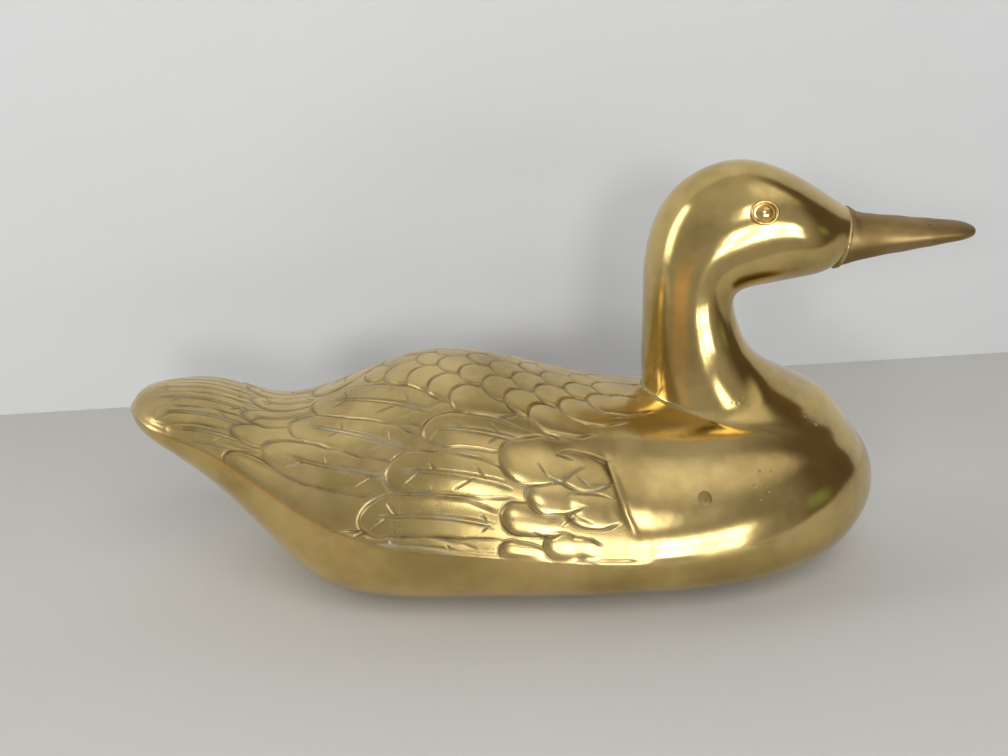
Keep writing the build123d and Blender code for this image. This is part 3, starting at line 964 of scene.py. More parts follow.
# Beads of filler metal: radius in metres, points along and round, and lumps as height by the radius, number
# and turn. The neck's bead is thinner by neck_bead_loss in front, from one cosine of the turn to another, and
# its place is worked out in rounds from a first height by the body's.
neck_bead_radius, neck_bead_points, neck_bead_sides = 0.00035, 260, 14
neck_bead_loss, neck_bead_front = 0.7, (-0.5, 0.1)
neck_bead_rounds, neck_bead_height = 40, 0.8
neck_lumps = ((0.12, 9, 0.0), (0.08, 23, 1.0))
bill_bead_radius, bill_bead_points, bill_bead_sides = 0.0009, 300, 16
bill_lumps = ((0.16, 7, 0.4), (0.12, 17, 2.0), (0.08, 31, 0.0))


def lumps_round(turn, lumps):
    """1 plus the sum of each lump's height times the sine of its number times the turn."""
    return 1 + sum(height * np.sin(number * turn + start) for height, number, start in lumps)


def build_head(shape, head_material, bead_material):
    """Head and neck, and the bead of filler metal in the crease round the neck's foot.

    The bead runs where the neck's oval at a height meets the body's top at that height, found in rounds.
    """
    points, normals = head_surface(shape)
    rows = (len(cap_shares), *points.shape[1:])
    start, end = (np.broadcast_to(way, rows) for way in (neck_end_way, bill_end_way))
    piece = mesh_piece("head_and_neck_skin", capped(points), np.concatenate([start, normals, end]), wrap=True,
                       poles=(True, True))
    dress(piece, head_material, ("head_and_neck",))
    turn = np.linspace(0, 2 * math.pi, neck_bead_points, endpoint=False)
    z = np.full_like(turn, body_height * neck_bead_height)
    for _ in range(neck_bead_rounds):
        middle, half_length, half_width = (np.interp(z, ovals[0], values) for values in ovals[1:])
        x = middle + half_length * np.cos(turn)
        y = half_width * np.sin(turn)
        z = body_top(x, y)
    radius = lumps_round(turn, neck_lumps) * (1 - neck_bead_loss * smooth(np.cos(turn), *neck_bead_front))
    bead = ring_piece("neck_bead", tube(np.stack([x, y, z], 1) * inset, neck_bead_radius * radius,
                                        neck_bead_sides))
    # The neck's bead gets the crease's dark metal: painted shade in the crease round the neck's foot
    dress(bead, bead_material, ("neck_braze_ring",))
    return points, normals


# Depth of the bill's dents by the ripple, how far its skin lies inside the solid's, in metres, and half width
# of its root
bill_dent_share, bill_skin_sink, bill_root_share = 1.6, 0.0001, 1.02

# How much the distance along the bill counts in its spline's knots, and where its lean fades and its dents
# start and fade, by the share of its run
bill_knot_stretch = 2.3
bill_lean_fade, bill_dent_start, bill_dent_fade = (0.0, 0.12), (0.02, 0.1), (0.9, 1.0)

# The bill's bead lies bill_bead_sink inside the root. Its top, between two cosines of the turn, is thinner
# and lies deeper. Its radius is an even part and a part that follows the lumps.
bill_bead_sink, bill_bead_lump, bill_bead_top_sink, bill_bead_top_loss = 0.0002, 0.0003, 0.0009, 0.45
bill_bead_top, bill_bead_even, bill_bead_uneven = (0.35, 0.85), 0.8, 0.25


def build_bill(shape, bill_material, bead_material):
    """Bill with shallow dents, and the lumpy bead of filler metal at its root.

    Each section is an oval between the table's bottom and top, square to the bill from a short way off its
    root, and leaning with the head's last rib at the root.
    """
    front_x, front_z = head_point(*head_ribs_share[-1][0:2])
    back_x, back_z = head_point(*head_ribs_share[-1][2:4])
    half_height = math.hypot(back_x - front_x, back_z - front_z) / 2
    lean = math.atan2(back_x - front_x, back_z - front_z)
    gap = bead_thickness * math.cos(lean)
    root_x = (front_x + back_x) / 2 + gap
    root_z = (front_z + back_z) / 2 - bead_thickness * math.sin(lean)
    half_width = bill_width / 2
    table = bill_sections_share
    reach = np.hypot(np.diff(table[:, 0]) * bill_knot_stretch, np.diff(table[:, 3]))
    knots = np.concatenate([[0], np.cumsum(np.sqrt(reach))])
    rows = cubic_rows(knots, table, np.linspace(0, knots[-1], bill_rows))
    rows[:, 0] = np.clip(rows[:, 0], 0, 1)
    run = bill_high[0] - root_x
    bottom, top = (root_z + half_height * (2 * rows[:, column:column + 1] - 1) for column in (1, 2))
    turn = np.linspace(0, 2 * math.pi, bill_columns, endpoint=False)[None]
    share = rows[:, 0:1]
    z = (bottom + top) / 2 + (top - bottom) / 2 * np.cos(turn)
    x = root_x + share * run + (1 - smooth(share, *bill_lean_fade)) * math.tan(lean) * (z - root_z)
    y = rows[:, 3:4] * half_width * np.sin(turn)
    points = np.stack([np.broadcast_to(x, z.shape), y, z], 2)
    normals = wrapped_normals(points)
    dents = shape.ripple * bill_dent_share * ripple(points, *bill_waves)
    dents = dents * (1 - smooth(share, *bill_dent_fade))
    points = points + normals * ((dents - bill_skin_sink) * smooth(share, *bill_dent_start))[..., None]
    bill = mesh_piece("bill_casting", capped(points * inset), wrap=True, poles=(True, True))
    dress(bill, bill_material, ("bill",))
    turn = np.linspace(0, 2 * math.pi, bill_bead_points, endpoint=False)
    lumps = lumps_round(turn, bill_lumps)
    sunk = bill_bead_top_loss * smooth(np.cos(turn), *bill_bead_top)
    reach = 1 + (bill_bead_lump * (lumps - 1) - bill_bead_sink - bill_bead_top_sink * sunk) / half_height
    z = half_height * reach * np.cos(turn)
    y = half_width * bill_root_share * reach * np.sin(turn)
    x = root_x - gap / 2 + math.tan(lean) * z
    path = np.stack([x, y, root_z + z], 1) * inset
    radius = bill_bead_radius * (1 - sunk) * (bill_bead_even + bill_bead_uneven * lumps)
    bead = ring_piece("bill_bead", tube(path, radius, bill_bead_sides))
    dress(bead, bead_material, ("bill_braze_ring",))


def turned_piece(name, outline, centre, axis, steps, length_share=1.0):
    """Makes a piece by turning an outline of (radius, height) points round an axis through a centre.

    length_share stretches it along the level direction.
    """
    axis = unit(axis)
    first = unit(np.cross(axis, (0, 0, 1.0)))
    second = np.cross(axis, first)
    turn = np.linspace(0, 2 * math.pi, steps, endpoint=False)
    around = first * length_share * np.cos(turn)[:, None] + second * np.sin(turn)[:, None] / length_share
    points = centre + outline[:, :1, None] * around[None] + outline[:, 1:2, None] * axis
    return mesh_piece(name, points, wrap=True, poles=(outline[0, 0] == 0, outline[-1, 0] == 0))


# An eye by its radius: dome and rim, each as radius of its middle, half width, height of its middle and rise,
# then the groove between them and the buried edge as radius and height. It is longer than it is high.
eye_dome, eye_rim = (0.0, 0.60, -0.06, 0.32), (0.87, 0.13, 0.03, 0.16)
eye_groove = ((0.615, -0.075), (0.68, -0.085))
eye_buried = ((1.0, -0.15), (0.98, -0.22), (0.5, -0.30), (0.0, -0.30))
eye_length_share = 1.09
eye_dome_points, eye_rim_points, eye_steps = 20, 18, 96

# A core plug: radius by its own radius and height in metres, the reach and step along the body and the first
# angle and points round it in which its place is looked for, and its points round
plug_outline = ((0, 0.0002), (0.4, 0.00022), (0.75, 0.00016), (0.93, 0.00008), (1.0, -0.0001), (1.0, -0.0012),
                (0.0, -0.0012))
plug_search_reach, plug_search_step, plug_search_angle, plug_search_points = 0.002, 0.0005, 0.5, 200
plug_steps = 48

# Sides of the duck and the sign of their y
both_hands = (("left", 1), ("right", -1))


def arch(middle, half_width, base, rise, turn):
    """Radius and height of an arch: middle + half width * cosine, and base + rise * sine of the turn."""
    return np.stack([middle + half_width * np.cos(turn), base + rise * np.sin(turn)], 1)


def eye_outline(radius):
    """Radius and height of an eye from its middle outwards: dome, groove, round rim and buried edge."""
    dome = arch(*eye_dome, np.linspace(math.pi / 2, 0, eye_dome_points))
    dome[0, 0] = 0
    rim = arch(*eye_rim, np.linspace(math.pi, 0, eye_rim_points))
    return np.concatenate([dome, eye_groove, rim, eye_buried]) * radius


def nearest(points, x, z):
    """Row and column of the point of a grid that is nearest to a place in side view."""
    away = np.hypot(points[..., 0] - x, points[..., 2] - z)
    return np.unravel_index(away.argmin(), away.shape)


def build_eyes(head_points, head_normals, material):
    """Both eyes, each on the skin of the head where the solid model has it, square to the skin.

    Points of the head's other side are moved a metre away, so that the nearest one is on the right side.
    """
    middle = (stud_low + stud_high) / 2
    outline = eye_outline((stud_high[0] - stud_low[0]) / 2)
    for side, hand in both_hands:
        far = np.where(head_points[..., 1:2] * hand > 0, 0.0, 1.0)
        place = nearest(head_points + far, middle[0], middle[2])
        piece = turned_piece(f"{side}_eye_stud", outline, head_points[place], head_normals[place],
                             eye_steps, eye_length_share)
        dress(piece, material, (f"{side}_eye",))


def build_plugs(material):
    """Core plugs, rough discs flush with the breast."""
    middle = (plug_low + plug_high) / 2
    places = outline_places(middle[0] - plug_search_reach, middle[0] + plug_search_reach, plug_search_step)
    angles = np.linspace(plug_search_angle, math.pi / 2, plug_search_points)[None]
    skin = body_surface(profile_rows(places), angles)
    place = nearest(skin, middle[0], middle[2])
    centre, axis = skin[place] * inset, surface_normals(skin)[place]
    outline = np.array(plug_outline) * ((plug_high[0] - plug_low[0]) / 2, 1)
    for side, hand in both_hands:
        mirror = np.array([1, hand, 1])
        piece = turned_piece(f"breast_plug_{side}_face", outline, centre * mirror, axis * mirror,
                             plug_steps)
        dress(piece, material, (f"breast_plug_{side}",))


# Distances between the nodes of a tree and its nodes in a row
node_step, node_row = (180, -260), 9


class Board:
    """Shorthand for adding nodes to an emptied tree and linking them."""

    def __init__(self, tree):
        tree.nodes.clear()
        self.tree = tree
        self.count = 0

    def add(self, kind, inputs=None, **settings):
        """Adds a node. inputs are sockets by name or number, each a value or another node's output."""
        made = self.tree.nodes.new("ShaderNode" + kind)
        made.location = (node_step[0] * (self.count % node_row), node_step[1] * (self.count // node_row))
        self.count += 1
        for name, value in settings.items():
            setattr(made, name, value)
        for name, value in (inputs or {}).items():
            if isinstance(value, bpy.types.NodeSocket):
                self.tree.links.new(value, made.inputs[name])
            else:
                made.inputs[name].default_value = value
        return made

    def math(self, operation, first, second=0.0, clamp=False):
        """One step of arithmetic on two values or outputs."""
        return self.add("Math", {0: first, 1: second}, operation=operation, use_clamp=clamp).outputs[0]

    def band(self, value, low, high, start=0.0, end=1.0):
        """Smooth ramp of a value from start at low to end at high."""
        return self.add("MapRange", {"Value": value, "From Min": low, "From Max": high, "To Min": start,
                                     "To Max": end}, interpolation_type="SMOOTHSTEP").outputs[0]

    def noise(self, vector, scale, detail=3.0, roughness=0.5):
        """Noise between 0 and 1 with scale bumps to a metre."""
        return self.add("TexNoise", {"Vector": vector, "Scale": scale, "Detail": detail,
                                     "Roughness": roughness}).outputs["Fac"]

    def mix(self, share, first, second):
        """A colour that passes from first to second with share."""
        return self.add("Mix", {0: share, 6: first, 7: second}, data_type="RGBA").outputs[2]


def new_group(name, inputs, outputs):
    """An empty shader node group with its sockets, its board and its two end nodes."""
    tree = bpy.data.node_groups.new(name, "ShaderNodeTree")
    for way, sockets in (("INPUT", inputs), ("OUTPUT", outputs)):
        for label, kind in sockets:
            tree.interface.new_socket(name=label, in_out=way, socket_type="NodeSocket" + kind)
    return tree, Board(tree), tree.nodes.new("NodeGroupInput"), tree.nodes.new("NodeGroupOutput")


def new_material(name):
    """An empty material and its board."""
    material = bpy.data.materials.new(name)
    material.use_nodes = True
    return material, Board(material.node_tree)


def opaque(colour, share=1.0, tint=(1.0, 1.0, 1.0)):
    """A colour times a share and a tint, for a colour socket."""
    return tuple(part * share * tone for part, tone in zip(colour[:3], tint)) + (1,)


tarnish_name = "Brass Tarnish"
tarnish_marks = ("Cloud", "Spots", "Wear", "Skin")

# What the clouds of tarnish do to the metal's red, green and blue, and the green grey of the oldest residue
tarnish_tint = (1.0, 0.97, 0.86)
verdigris = (0.22, 0.27, 0.20, 1)

# Noises: bumps to a metre, detail and roughness. Bands are where each one's mark starts and is whole
cloud_noise, cloud_band = (26, 4, 0.6), (0.36, 0.66)
speck_pace, speck_band = 330.0, (0.30, 0.06)
speck_noise, speck_noise_band = (55, 2), (0.63, 0.70)
wear_noise, wave_noise = (420, 5, 0.7), (95, 2, 0.4)
residue_noise, residue_band, hue_noise = (130, 3, 0.6), (0.40, 0.62), (60, 2)

# Shares of waves, specks and wear in the height of the skin
skin_waves, skin_specks, skin_wear = 0.6, 0.25, 0.05

# What clouds and wear add to the roughness, by the clean metal's, what specks, cuts and residue add to it,
# and what specks and residue take off the metal
cloud_rough, wear_rough = 0.5, 0.5
speck_rough, cut_rough, residue_rough = 0.25, 0.22, 0.3
speck_metal_loss, residue_metal_loss = 0.3, 0.75


def tarnish_group():
    """Uneven tarnish of old polished brass.

    Cloud is a slow change of tone, Spots are small dark specks, Wear is fine uneven gloss, and Skin is a
    height of faint polishing waves and casting pores.
    """
    tree, board, start, end = new_group(tarnish_name, [("Vector", "Vector")],
                                        [(label, "Float") for label in tarnish_marks])
    vector = start.outputs[0]
    cloud = board.band(board.noise(vector, *cloud_noise), *cloud_band)
    specks = board.add("TexVoronoi", {"Vector": vector, "Scale": speck_pace}).outputs["Distance"]
    chosen = board.band(board.noise(vector, *speck_noise), *speck_noise_band)
    spots = board.math("MULTIPLY", board.band(specks, *speck_band), chosen)
    wear = board.noise(vector, *wear_noise)
    waves = board.noise(vector, *wave_noise)
    skin = board.math("SUBTRACT", board.math("MULTIPLY", waves, skin_waves),
                      board.math("MULTIPLY", spots, skin_specks))
    skin = board.math("ADD", skin, board.math("MULTIPLY", wear, skin_wear))
    for number, value in enumerate((cloud, spots, wear, skin)):
        tree.links.new(value, end.inputs[number])
    return tree


def brass_material(name, tarnish, colour, look, gloss, dull=0.35, spots=0.35, bump=0.0002, feathers=False):
    """Brass with uneven tarnish. feathers adds the cuts, darkened by dark tarnish and by painted shade, and
    the pale residue that the carving marks.

    dull is how much darker the clouds of tarnish are, spots how dark the specks, bump the skin's height in
    metres and gloss the roughness of the clean metal.
    """
    material, board = new_material(name)
    place = board.add("TexCoord").outputs["Object"]
    marks = board.add("Group", {0: place}, node_tree=tarnish)
    cloud, speck, wear, skin = (marks.outputs[label] for label in tarnish_marks)
    tone = board.mix(cloud, tuple(colour), opaque(colour, 1 - dull, tarnish_tint))
    tone = board.mix(board.math("MULTIPLY", speck, spots), tone, tuple(look.cut_tarnish_and_shade_colour))
    rough = board.math("ADD", gloss, board.math("MULTIPLY", cloud, gloss * cloud_rough))
    rough = board.math("ADD", rough, board.math("MULTIPLY", wear, gloss * wear_rough))
    rough = board.math("ADD", rough, board.math("MULTIPLY", speck, speck_rough))
    metal = board.math("SUBTRACT", 1.0, board.math("MULTIPLY", speck, speck_metal_loss))
    if feathers:
        groove = board.add("Attribute", attribute_name="groove").outputs["Fac"]
        residue = board.add("Attribute", attribute_name="residue").outputs["Fac"]
        patch = board.band(board.noise(place, *residue_noise), *residue_band)
        # Painted shade: the cuts are darkened towards the cut colour, partly as dark tarnish and partly as
        # the shade that falls in them
        tone = board.mix(board.math("MULTIPLY", groove, look.groove_shade_share), tone, tuple(look.cut_tarnish_and_shade_colour))
        grey = board.math("MULTIPLY", board.math("MULTIPLY", residue, patch), look.residue_share, clamp=True)
        hue = board.mix(board.noise(place, *hue_noise), tuple(look.residue_colour), verdigris)
        tone = board.mix(grey, tone, hue)
        metal = board.math("SUBTRACT", metal, board.math("MULTIPLY", grey, residue_metal_loss))
        satin = board.add("Attribute", attribute_name="satin").outputs["Fac"]
        rough = board.math("ADD", rough, board.math("MULTIPLY", satin, look.satin_gloss))
        rough = board.math("ADD", rough, board.math("MULTIPLY", groove, cut_rough))
        rough = board.math("ADD", rough, board.math("MULTIPLY", grey, residue_rough))
    height = board.add("Bump", {"Height": skin, "Strength": 1.0, "Distance": bump}).outputs[0]
    shader = board.add("BsdfPrincipled", {"Base Color": tone, "Roughness": rough, "Metallic": metal,
                                          "Normal": height}).outputs[0]
    board.add("OutputMaterial", {"Surface": shader})
    return material


def plane_piece(name, corners):
    """A flat four-cornered backdrop surface."""
    mesh = bpy.data.meshes.new(name)
    mesh.from_pydata(corners, [], [(0, 1, 2, 3)])
    piece = bpy.data.objects.new(name, mesh)
    bpy.context.scene.collection.objects.link(piece)
    return piece


# Sizes of the stage in metres: half the table's side, the y in front of which the brass doesn't mirror it,
# the wall's distance behind the duck, its half length and height, and its turn in degrees
table_half_side, table_edge_y = 3.0, -0.125
wall_distance, wall_half_length, wall_height, wall_turn = 0.213, 1.2, 1.5, 4.29
paint_roughness, table_mottle, wall_mottle = 0.75, 0.03, 0.02
paint_noise, paint_band = (5.0, 4, 0.55), (0.3, 0.7)

# The camera, fitted to the photograph: place and target in metres, lens and sensor in mm, and the nearest
# distance that it sees in metres
camera_place = Vector((-0.0764, -0.4512, 0.2207))
camera_target = Vector((-0.021, 0.0, 0.073))
camera_lens, sensor_width, camera_near = 46.43, 36.0, 0.01


def stage_material(name, colour, mottle, one_sided):
    """Plain matt paint with a faint mottle.

    Rays from behind see through a one sided surface. Otherwise the brass sees through the surface's front
    part, where the photograph's table ends.
    """
    material, board = new_material(name)
    place = board.add("TexCoord").outputs["Object"]
    cloud = board.band(board.noise(place, *paint_noise), *paint_band)
    tone = board.mix(cloud, tuple(colour), opaque(colour, 1 - mottle))
    paint = board.add("BsdfPrincipled", {"Base Color": tone, "Roughness": paint_roughness}).outputs[0]
    through = board.add("BsdfTransparent").outputs[0]
    if one_sided:
        share = board.add("NewGeometry").outputs["Backfacing"]
    else:
        y = board.add("SeparateXYZ", {0: place}).outputs["Y"]
        share = board.math("MULTIPLY", board.math("LESS_THAN", y, table_edge_y),
                           board.add("LightPath").outputs["Is Glossy Ray"])
    surface = board.add("MixShader", {0: share, 1: paint, 2: through}).outputs[0]
    board.add("OutputMaterial", {"Surface": surface})
    return material


# Parts of the room by direction: azimuth from the camera's side towards the bill and height, both in degrees,
# softness in degrees, colour and its strength. They are two windows, the lower one with bars, a bright side
# behind the tail, warm wood low on the left, a green garden beyond the bill and a patch of the ceiling.
room_parts = (
    ((3, 34), (-18, 3), 1.6, (1.0, 1.02, 1.05), 7.5),
    ((2, 15), (17, 32), 2.0, (1.0, 1.02, 1.05), 6.0),
    ((-115, -80), (0, 42), 5.0, (1.0, 1.0, 1.02), 4.2),
    ((-60, -24), (-30, -8), 8.0, (1.0, 0.72, 0.50), 0.62),
    ((62, 74), (-3, 8), 3.0, (0.60, 0.80, 0.35), 0.42),
    ((15, 75), (42, 70), 12.0, (1.0, 0.98, 0.94), 1.1),
)
window_bars = (((9, 13), (-18, 3)), ((23, 25.5), (-18, 3)), ((3, 34), (-9, -7)))
bar_softness = 0.5

# Where the ceiling starts and is whole, and where the dim side of the room starts, by azimuth, and ends, by
# height, all in degrees
ceiling_band, dim_band, dim_top = (10, 60), (38, 74), (82, 48)

# What the camera sees past the wall and table
backdrop_colour = (0.62, 0.61, 0.59, 1)

# Soft lights for the table and wall: name, place, target, size in metres and power in watts
soft_lights = (
    ("window_left", (-0.60, -1.34, 0.40), (0.05, 0.1, 0.06), 0.16, 5.2),
    ("window_near", (-0.07, -1.30, 0.37), (0.0, 0.1, 0.04), 0.14, 4.6),
    ("ceiling_light", (0.05, -1.05, 0.90), (0.0, 0.15, 0.0), 0.90, 8.8),
)


def build_world(look):
    """The room as light by direction: pale ceiling, dim far side, two windows with bars, small tints.

    The table and wall get less of it, because the soft lights stand for its windows there.
    """
    world = bpy.data.worlds.new("Room")
    bpy.context.scene.world = world
    world.use_nodes = True
    board = Board(world.node_tree)
    way = board.add("SeparateXYZ", {0: board.add("TexCoord").outputs["Generated"]})
    azimuth = board.math("ARCTAN2", way.outputs["X"], board.math("MULTIPLY", way.outputs["Y"], -1.0))
    azimuth = board.math("MULTIPLY", azimuth, 180 / math.pi)
    height = board.math("MULTIPLY", board.math("ARCSINE", way.outputs["Z"]), 180 / math.pi)

    def inside(value, low, high, soft):
        """1 between low and high, with soft edges."""
        return board.math("MULTIPLY", board.band(value, low - soft, low + soft),
                          board.band(value, high + soft, high - soft))

    def patch(across, up, soft):
        """1 inside a patch of azimuths and heights."""
        return board.math("MULTIPLY", inside(azimuth, *across, soft), inside(height, *up, soft))

    far = board.math("MULTIPLY", board.band(azimuth, *dim_band), board.band(height, *dim_top))
    base = board.mix(board.band(height, *ceiling_band), tuple(look.room_colour), tuple(look.ceiling_colour))
    base = board.mix(far, base, tuple(look.dim_colour))
    clear = 1.0
    for across, up in window_bars:
        clear = board.math("MULTIPLY", clear, board.math("SUBTRACT", 1.0, patch(across, up, bar_softness)))
    for number, (across, up, soft, colour, strength) in enumerate(room_parts):
        share = patch(across, up, soft)
        if number == 0:
            share = board.math("MULTIPLY", share, clear)
        base = board.mix(share, base, opaque(colour, strength * look.window_strength))
    rays = board.add("LightPath").outputs
    colour = board.mix(rays["Is Camera Ray"], base, backdrop_colour)
    held = board.math("SUBTRACT", 1.0, board.math("MULTIPLY", rays["Is Diffuse Ray"], look.lamp_share))
    light = board.add("Background", {"Color": colour, "Strength": held}).outputs[0]
    board.add("OutputWorld", {"Surface": light})


def aimed(name, data, place, target):
    """Puts a lamp or a camera in the scene, looking at a target."""
    holder = bpy.data.objects.new(name, data)
    holder.location = place
    holder.rotation_euler = (Vector(target) - Vector(place)).to_track_quat("-Z", "Y").to_euler()
    bpy.context.scene.collection.objects.link(holder)
    return holder


def build_stage(look):
    """Pale table, pale wall behind it, the room's light and the camera."""
    side = table_half_side
    floor = plane_piece("table", [(-side, -side, 0), (side, -side, 0), (side, side, 0), (-side, side, 0)])
    floor.data.materials.append(stage_material("table_paint", look.table_colour, table_mottle, False))
    slope = math.tan(math.radians(wall_turn))
    low_left, low_right = ((x, wall_distance + slope * x) for x in (-wall_half_length, wall_half_length))
    wall = plane_piece("wall", [(*low_left, 0), (*low_right, 0), (*low_right, wall_height),
                                (*low_left, wall_height)])
    wall.data.materials.append(stage_material("wall_paint", look.wall_colour, wall_mottle, True))
    build_world(look)
    for name, place, target, size, power in soft_lights:
        lamp = bpy.data.lights.new(name, "AREA")
        lamp.size = size
        lamp.energy = power * look.lamp_strength
        holder = aimed(name, lamp, place, target)
        holder.visible_camera = False
        holder.visible_glossy = False
    camera = bpy.data.cameras.new("Camera")
    camera.lens = camera_lens
    camera.sensor_width = sensor_width
    camera.clip_start = camera_near
    bpy.context.scene.camera = aimed("Camera", camera, camera_place, camera_target)
    bpy.context.scene.view_settings.view_transform = "Standard"


def colour_property(name, description, default):
    """A colour for a property group."""
    return FloatVectorProperty(name=name, description=description, default=(*default, 1.0), size=4, min=0.0,
                               max=1.0, subtype="COLOR")


def share_property(name, description, default):
    """A share or a roughness between 0 and 1, for a property group."""
    return FloatProperty(name=name, description=description, default=default, min=0.0, max=1.0,
                         subtype="FACTOR")


class DuckShape(bpy.types.PropertyGroup):
    """Sizes of the carving. Lengths of the pattern are millimetres on a body 275.5 mm long."""

    relief: FloatProperty(name="Relief", description="Height of a feather over the one below, in mm",
                          default=0.8)
    edge_round: FloatProperty(name="Edge round", description="Width of a feather's rounded edge, in mm",
                              default=2.5)
    cut_width: FloatProperty(name="Cut width", description="Half width of the engraved lines, in mm",
                             default=0.5)
    cut_depth: FloatProperty(name="Cut depth", description="Depth of the engraved lines, in mm", default=0.38)
    sink: FloatProperty(name="Sink", description="How far the pattern starts under the smooth skin, in mm",
                        default=0.6)
    ripple: FloatProperty(name="Ripple", description="Height of the polished casting's slow waves",
                          default=0.00016, precision=5, subtype="DISTANCE")


class DuckFinish(bpy.types.PropertyGroup):
    """Colours and gloss of the metal."""

    brass_colour: colour_property("Brass", "Polished brass of the head and breast", (0.70, 0.52, 0.21))
    feather_colour: colour_property("Feathered brass", "Brass of the back and wings", (0.68, 0.51, 0.22))
    bill_colour: colour_property("Bill", "Dull brown tarnish of the bill", (0.40, 0.275, 0.115))
    plug_colour: colour_property("Plug", "Filed ends of the core plugs", (0.55, 0.41, 0.18))
    filler_colour: colour_property("Filler metal", "Brazing filler at the joints", (0.62, 0.50, 0.28))
    # The crease's filler metal is painted far darker than the bill's: painted shade in the crease round the
    # neck's foot
    crease_shade_colour: colour_property("Crease", "Tarnished filler metal in the crease round the neck's foot",
                                   (0.22, 0.155, 0.075))
    # Dark colour of the tarnish specks and pores, and of the cuts, where it is partly painted shade
    cut_tarnish_and_shade_colour: colour_property("Cut", "Dark tarnish in cuts and pores", (0.10, 0.075, 0.04))
    residue_colour: colour_property("Residue", "Pale dried polish in the grooves", (0.33, 0.31, 0.29))
    residue_share: share_property("Residue share", "How much residue is left", 0.9)
    # How dark the cuts are painted: partly tarnish, partly painted shade in them
    groove_shade_share: share_property("Cut share", "How dark the cuts are", 0.72)
    polished_gloss: share_property("Polished roughness", "Roughness of head and breast", 0.11)
    satin_gloss: share_property("Satin roughness", "Roughness of the back on top of the breast's", 0.09)
    bill_gloss: share_property("Bill roughness", "Roughness of the bill", 0.34)
    filler_gloss: share_property("Filler roughness", "Roughness of the filler metal", 0.22)
    crease_gloss: share_property("Crease roughness", "Roughness of the filler metal in the crease", 0.40)
    plug_gloss: share_property("Plug roughness", "Roughness of the core plugs", 0.36)


class DuckStage(bpy.types.PropertyGroup):
    """Colours of the table, the wall and the room."""

    table_colour: colour_property("Table", "Paint of the table", (0.55, 0.54, 0.51))
    wall_colour: colour_property("Wall", "Paint of the wall", (0.58, 0.585, 0.59))
    room_colour: colour_property("Room", "Room at eye level", (0.38, 0.37, 0.35))
    ceiling_colour: colour_property("Ceiling", "Ceiling", (0.52, 0.515, 0.50))
    dim_colour: colour_property("Dim side", "Dim far side of the room", (0.13, 0.095, 0.065))
    window_strength: FloatProperty(name="Windows", description="Brightness of the windows", default=1.0)
    lamp_share: share_property("Lamp share", "Part of the room's light that the table and wall don't get, "
                               "because the soft lights give it", 0.45)
    lamp_strength: FloatProperty(name="Lamps", description="Strength of the soft lights on table and wall",
                                 default=1.0)


# Kinds of metal: name of the material, the properties of its colour and its roughness, and what else it has
brass_kinds = {
    "feathered": ("feathered_brass", "feather_colour", "polished_gloss", {"feathers": True}),
    "polished": ("polished_brass", "brass_colour", "polished_gloss", {}),
    "bill": ("bill_brass", "bill_colour", "bill_gloss", {"dull": 0.3, "spots": 0.8, "bump": 0.0004}),
    "filler": ("braze_metal", "filler_colour", "filler_gloss", {"bump": 0.0008}),
    # Filler metal darkened as painted shade in the crease round the neck's foot
    "crease": ("crease_braze_metal", "crease_shade_colour", "crease_gloss", {"bump": 0.0008}),
    "plug": ("plug_brass", "plug_colour", "plug_gloss", {"dull": 0.4, "bump": 0.0010}),
}

# The materials that are made already, by kind
brasses = {}


def brass(kind):
    """The material of one kind of metal, made once."""
    if kind not in brasses:
        tarnish = bpy.data.node_groups.get(tarnish_name) or tarnish_group()
        finish = bpy.context.scene.duck_finish
        name, colour, gloss, others = brass_kinds[kind]
        brasses[kind] = brass_material(name, tarnish, getattr(finish, colour), finish, getattr(finish, gloss),
                                       **others)
    return brasses[kind]


class DUCK_OT_upper_casting(bpy.types.Operator):
    """Builds the upper casting with its carved feathers"""

    bl_idname = "duck.upper_casting"
    bl_label = "Upper casting"

    def execute(self, context):
        build_upper_casting(context.scene.duck_shape, brass("feathered"))
        return {"FINISHED"}


class DUCK_OT_lower_casting(bpy.types.Operator):
    """Builds the lower casting and the seam of filler metal above it"""

    bl_idname = "duck.lower_casting"
    bl_label = "Lower casting"

    def execute(self, context):
        build_lower_casting(context.scene.duck_shape, brass("polished"))
        return {"FINISHED"}


class DUCK_OT_head(bpy.types.Operator):
    """Builds the head and neck, the bead at the neck's foot and both eyes"""

    bl_idname = "duck.head"
    bl_label = "Head and eyes"

    def execute(self, context):
        points, normals = build_head(context.scene.duck_shape, brass("polished"), brass("crease"))
        build_eyes(points, normals, brass("polished"))
        return {"FINISHED"}


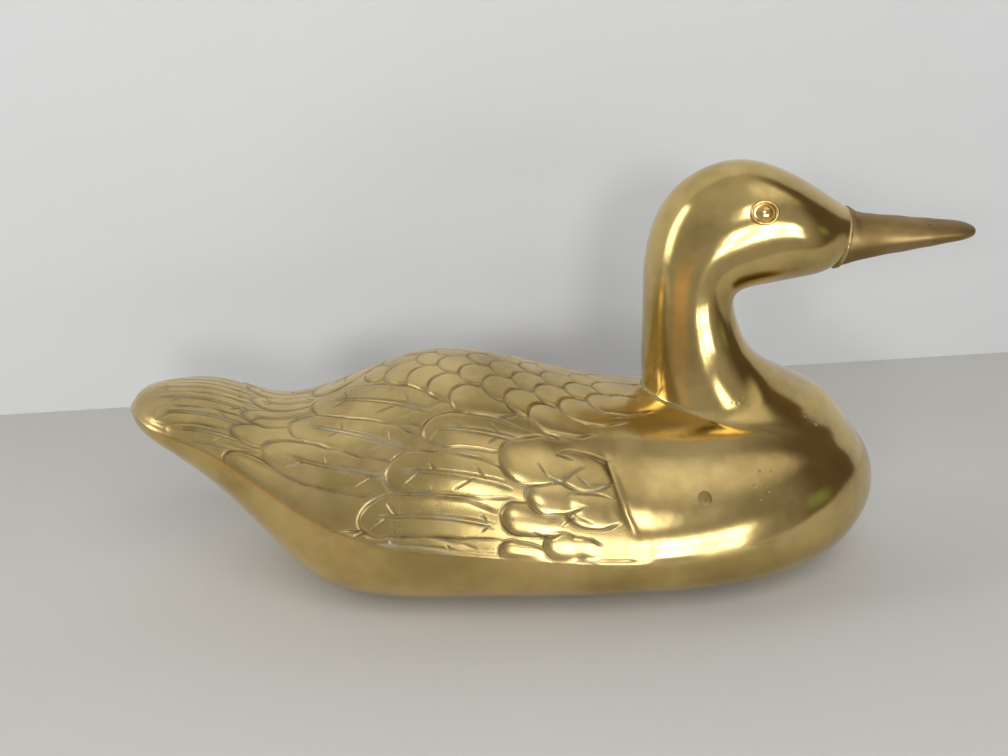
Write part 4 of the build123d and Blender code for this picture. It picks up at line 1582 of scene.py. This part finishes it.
class DUCK_OT_bill(bpy.types.Operator):
    """Builds the bill and the bead at its root"""

    bl_idname = "duck.bill"
    bl_label = "Bill"

    def execute(self, context):
        build_bill(context.scene.duck_shape, brass("bill"), brass("filler"))
        return {"FINISHED"}


class DUCK_OT_plugs(bpy.types.Operator):
    """Builds the two core plugs in the breast"""

    bl_idname = "duck.plugs"
    bl_label = "Core plugs"

    def execute(self, context):
        build_plugs(brass("plug"))
        return {"FINISHED"}


class DUCK_OT_stage(bpy.types.Operator):
    """Builds the table, the wall, the room's light and the camera"""

    bl_idname = "duck.stage"
    bl_label = "Stage"

    def execute(self, context):
        build_stage(context.scene.duck_stage)
        return {"FINISHED"}


# The operators, in the order in which they run
pieces = (DUCK_OT_upper_casting, DUCK_OT_lower_casting, DUCK_OT_head, DUCK_OT_bill, DUCK_OT_plugs,
          DUCK_OT_stage)


class DUCK_PT_panel(bpy.types.Panel):
    """The duck's pieces and settings"""

    bl_idname = "DUCK_PT_panel"
    bl_label = "Brass duck"
    bl_space_type = "VIEW_3D"
    bl_region_type = "UI"
    bl_category = "Duck"

    def draw(self, context):
        for operator in pieces:
            self.layout.operator(operator.bl_idname)
        for group in (context.scene.duck_shape, context.scene.duck_finish, context.scene.duck_stage):
            for name in group.bl_rna.properties.keys():
                if name not in ("rna_type", "name"):
                    self.layout.prop(group, name)


classes = (DuckShape, DuckFinish, DuckStage, *pieces, DUCK_PT_panel)


def register():
    """Registers the classes and puts the settings on the scene."""
    for item in classes:
        bpy.utils.register_class(item)
    bpy.types.Scene.duck_shape = PointerProperty(type=DuckShape)
    bpy.types.Scene.duck_finish = PointerProperty(type=DuckFinish)
    bpy.types.Scene.duck_stage = PointerProperty(type=DuckStage)


def unregister():
    """Takes the settings off the scene and unregisters the classes."""
    del bpy.types.Scene.duck_shape, bpy.types.Scene.duck_finish, bpy.types.Scene.duck_stage
    for item in reversed(classes):
        bpy.utils.unregister_class(item)


def main():
    """Builds the duck and its stage."""
    register()
    for operator in pieces:
        if getattr(bpy.ops.duck, operator.bl_idname.split(".")[1])() != {"FINISHED"}:
            raise RuntimeError(operator.bl_label)


if __name__ == "__main__":
    main()
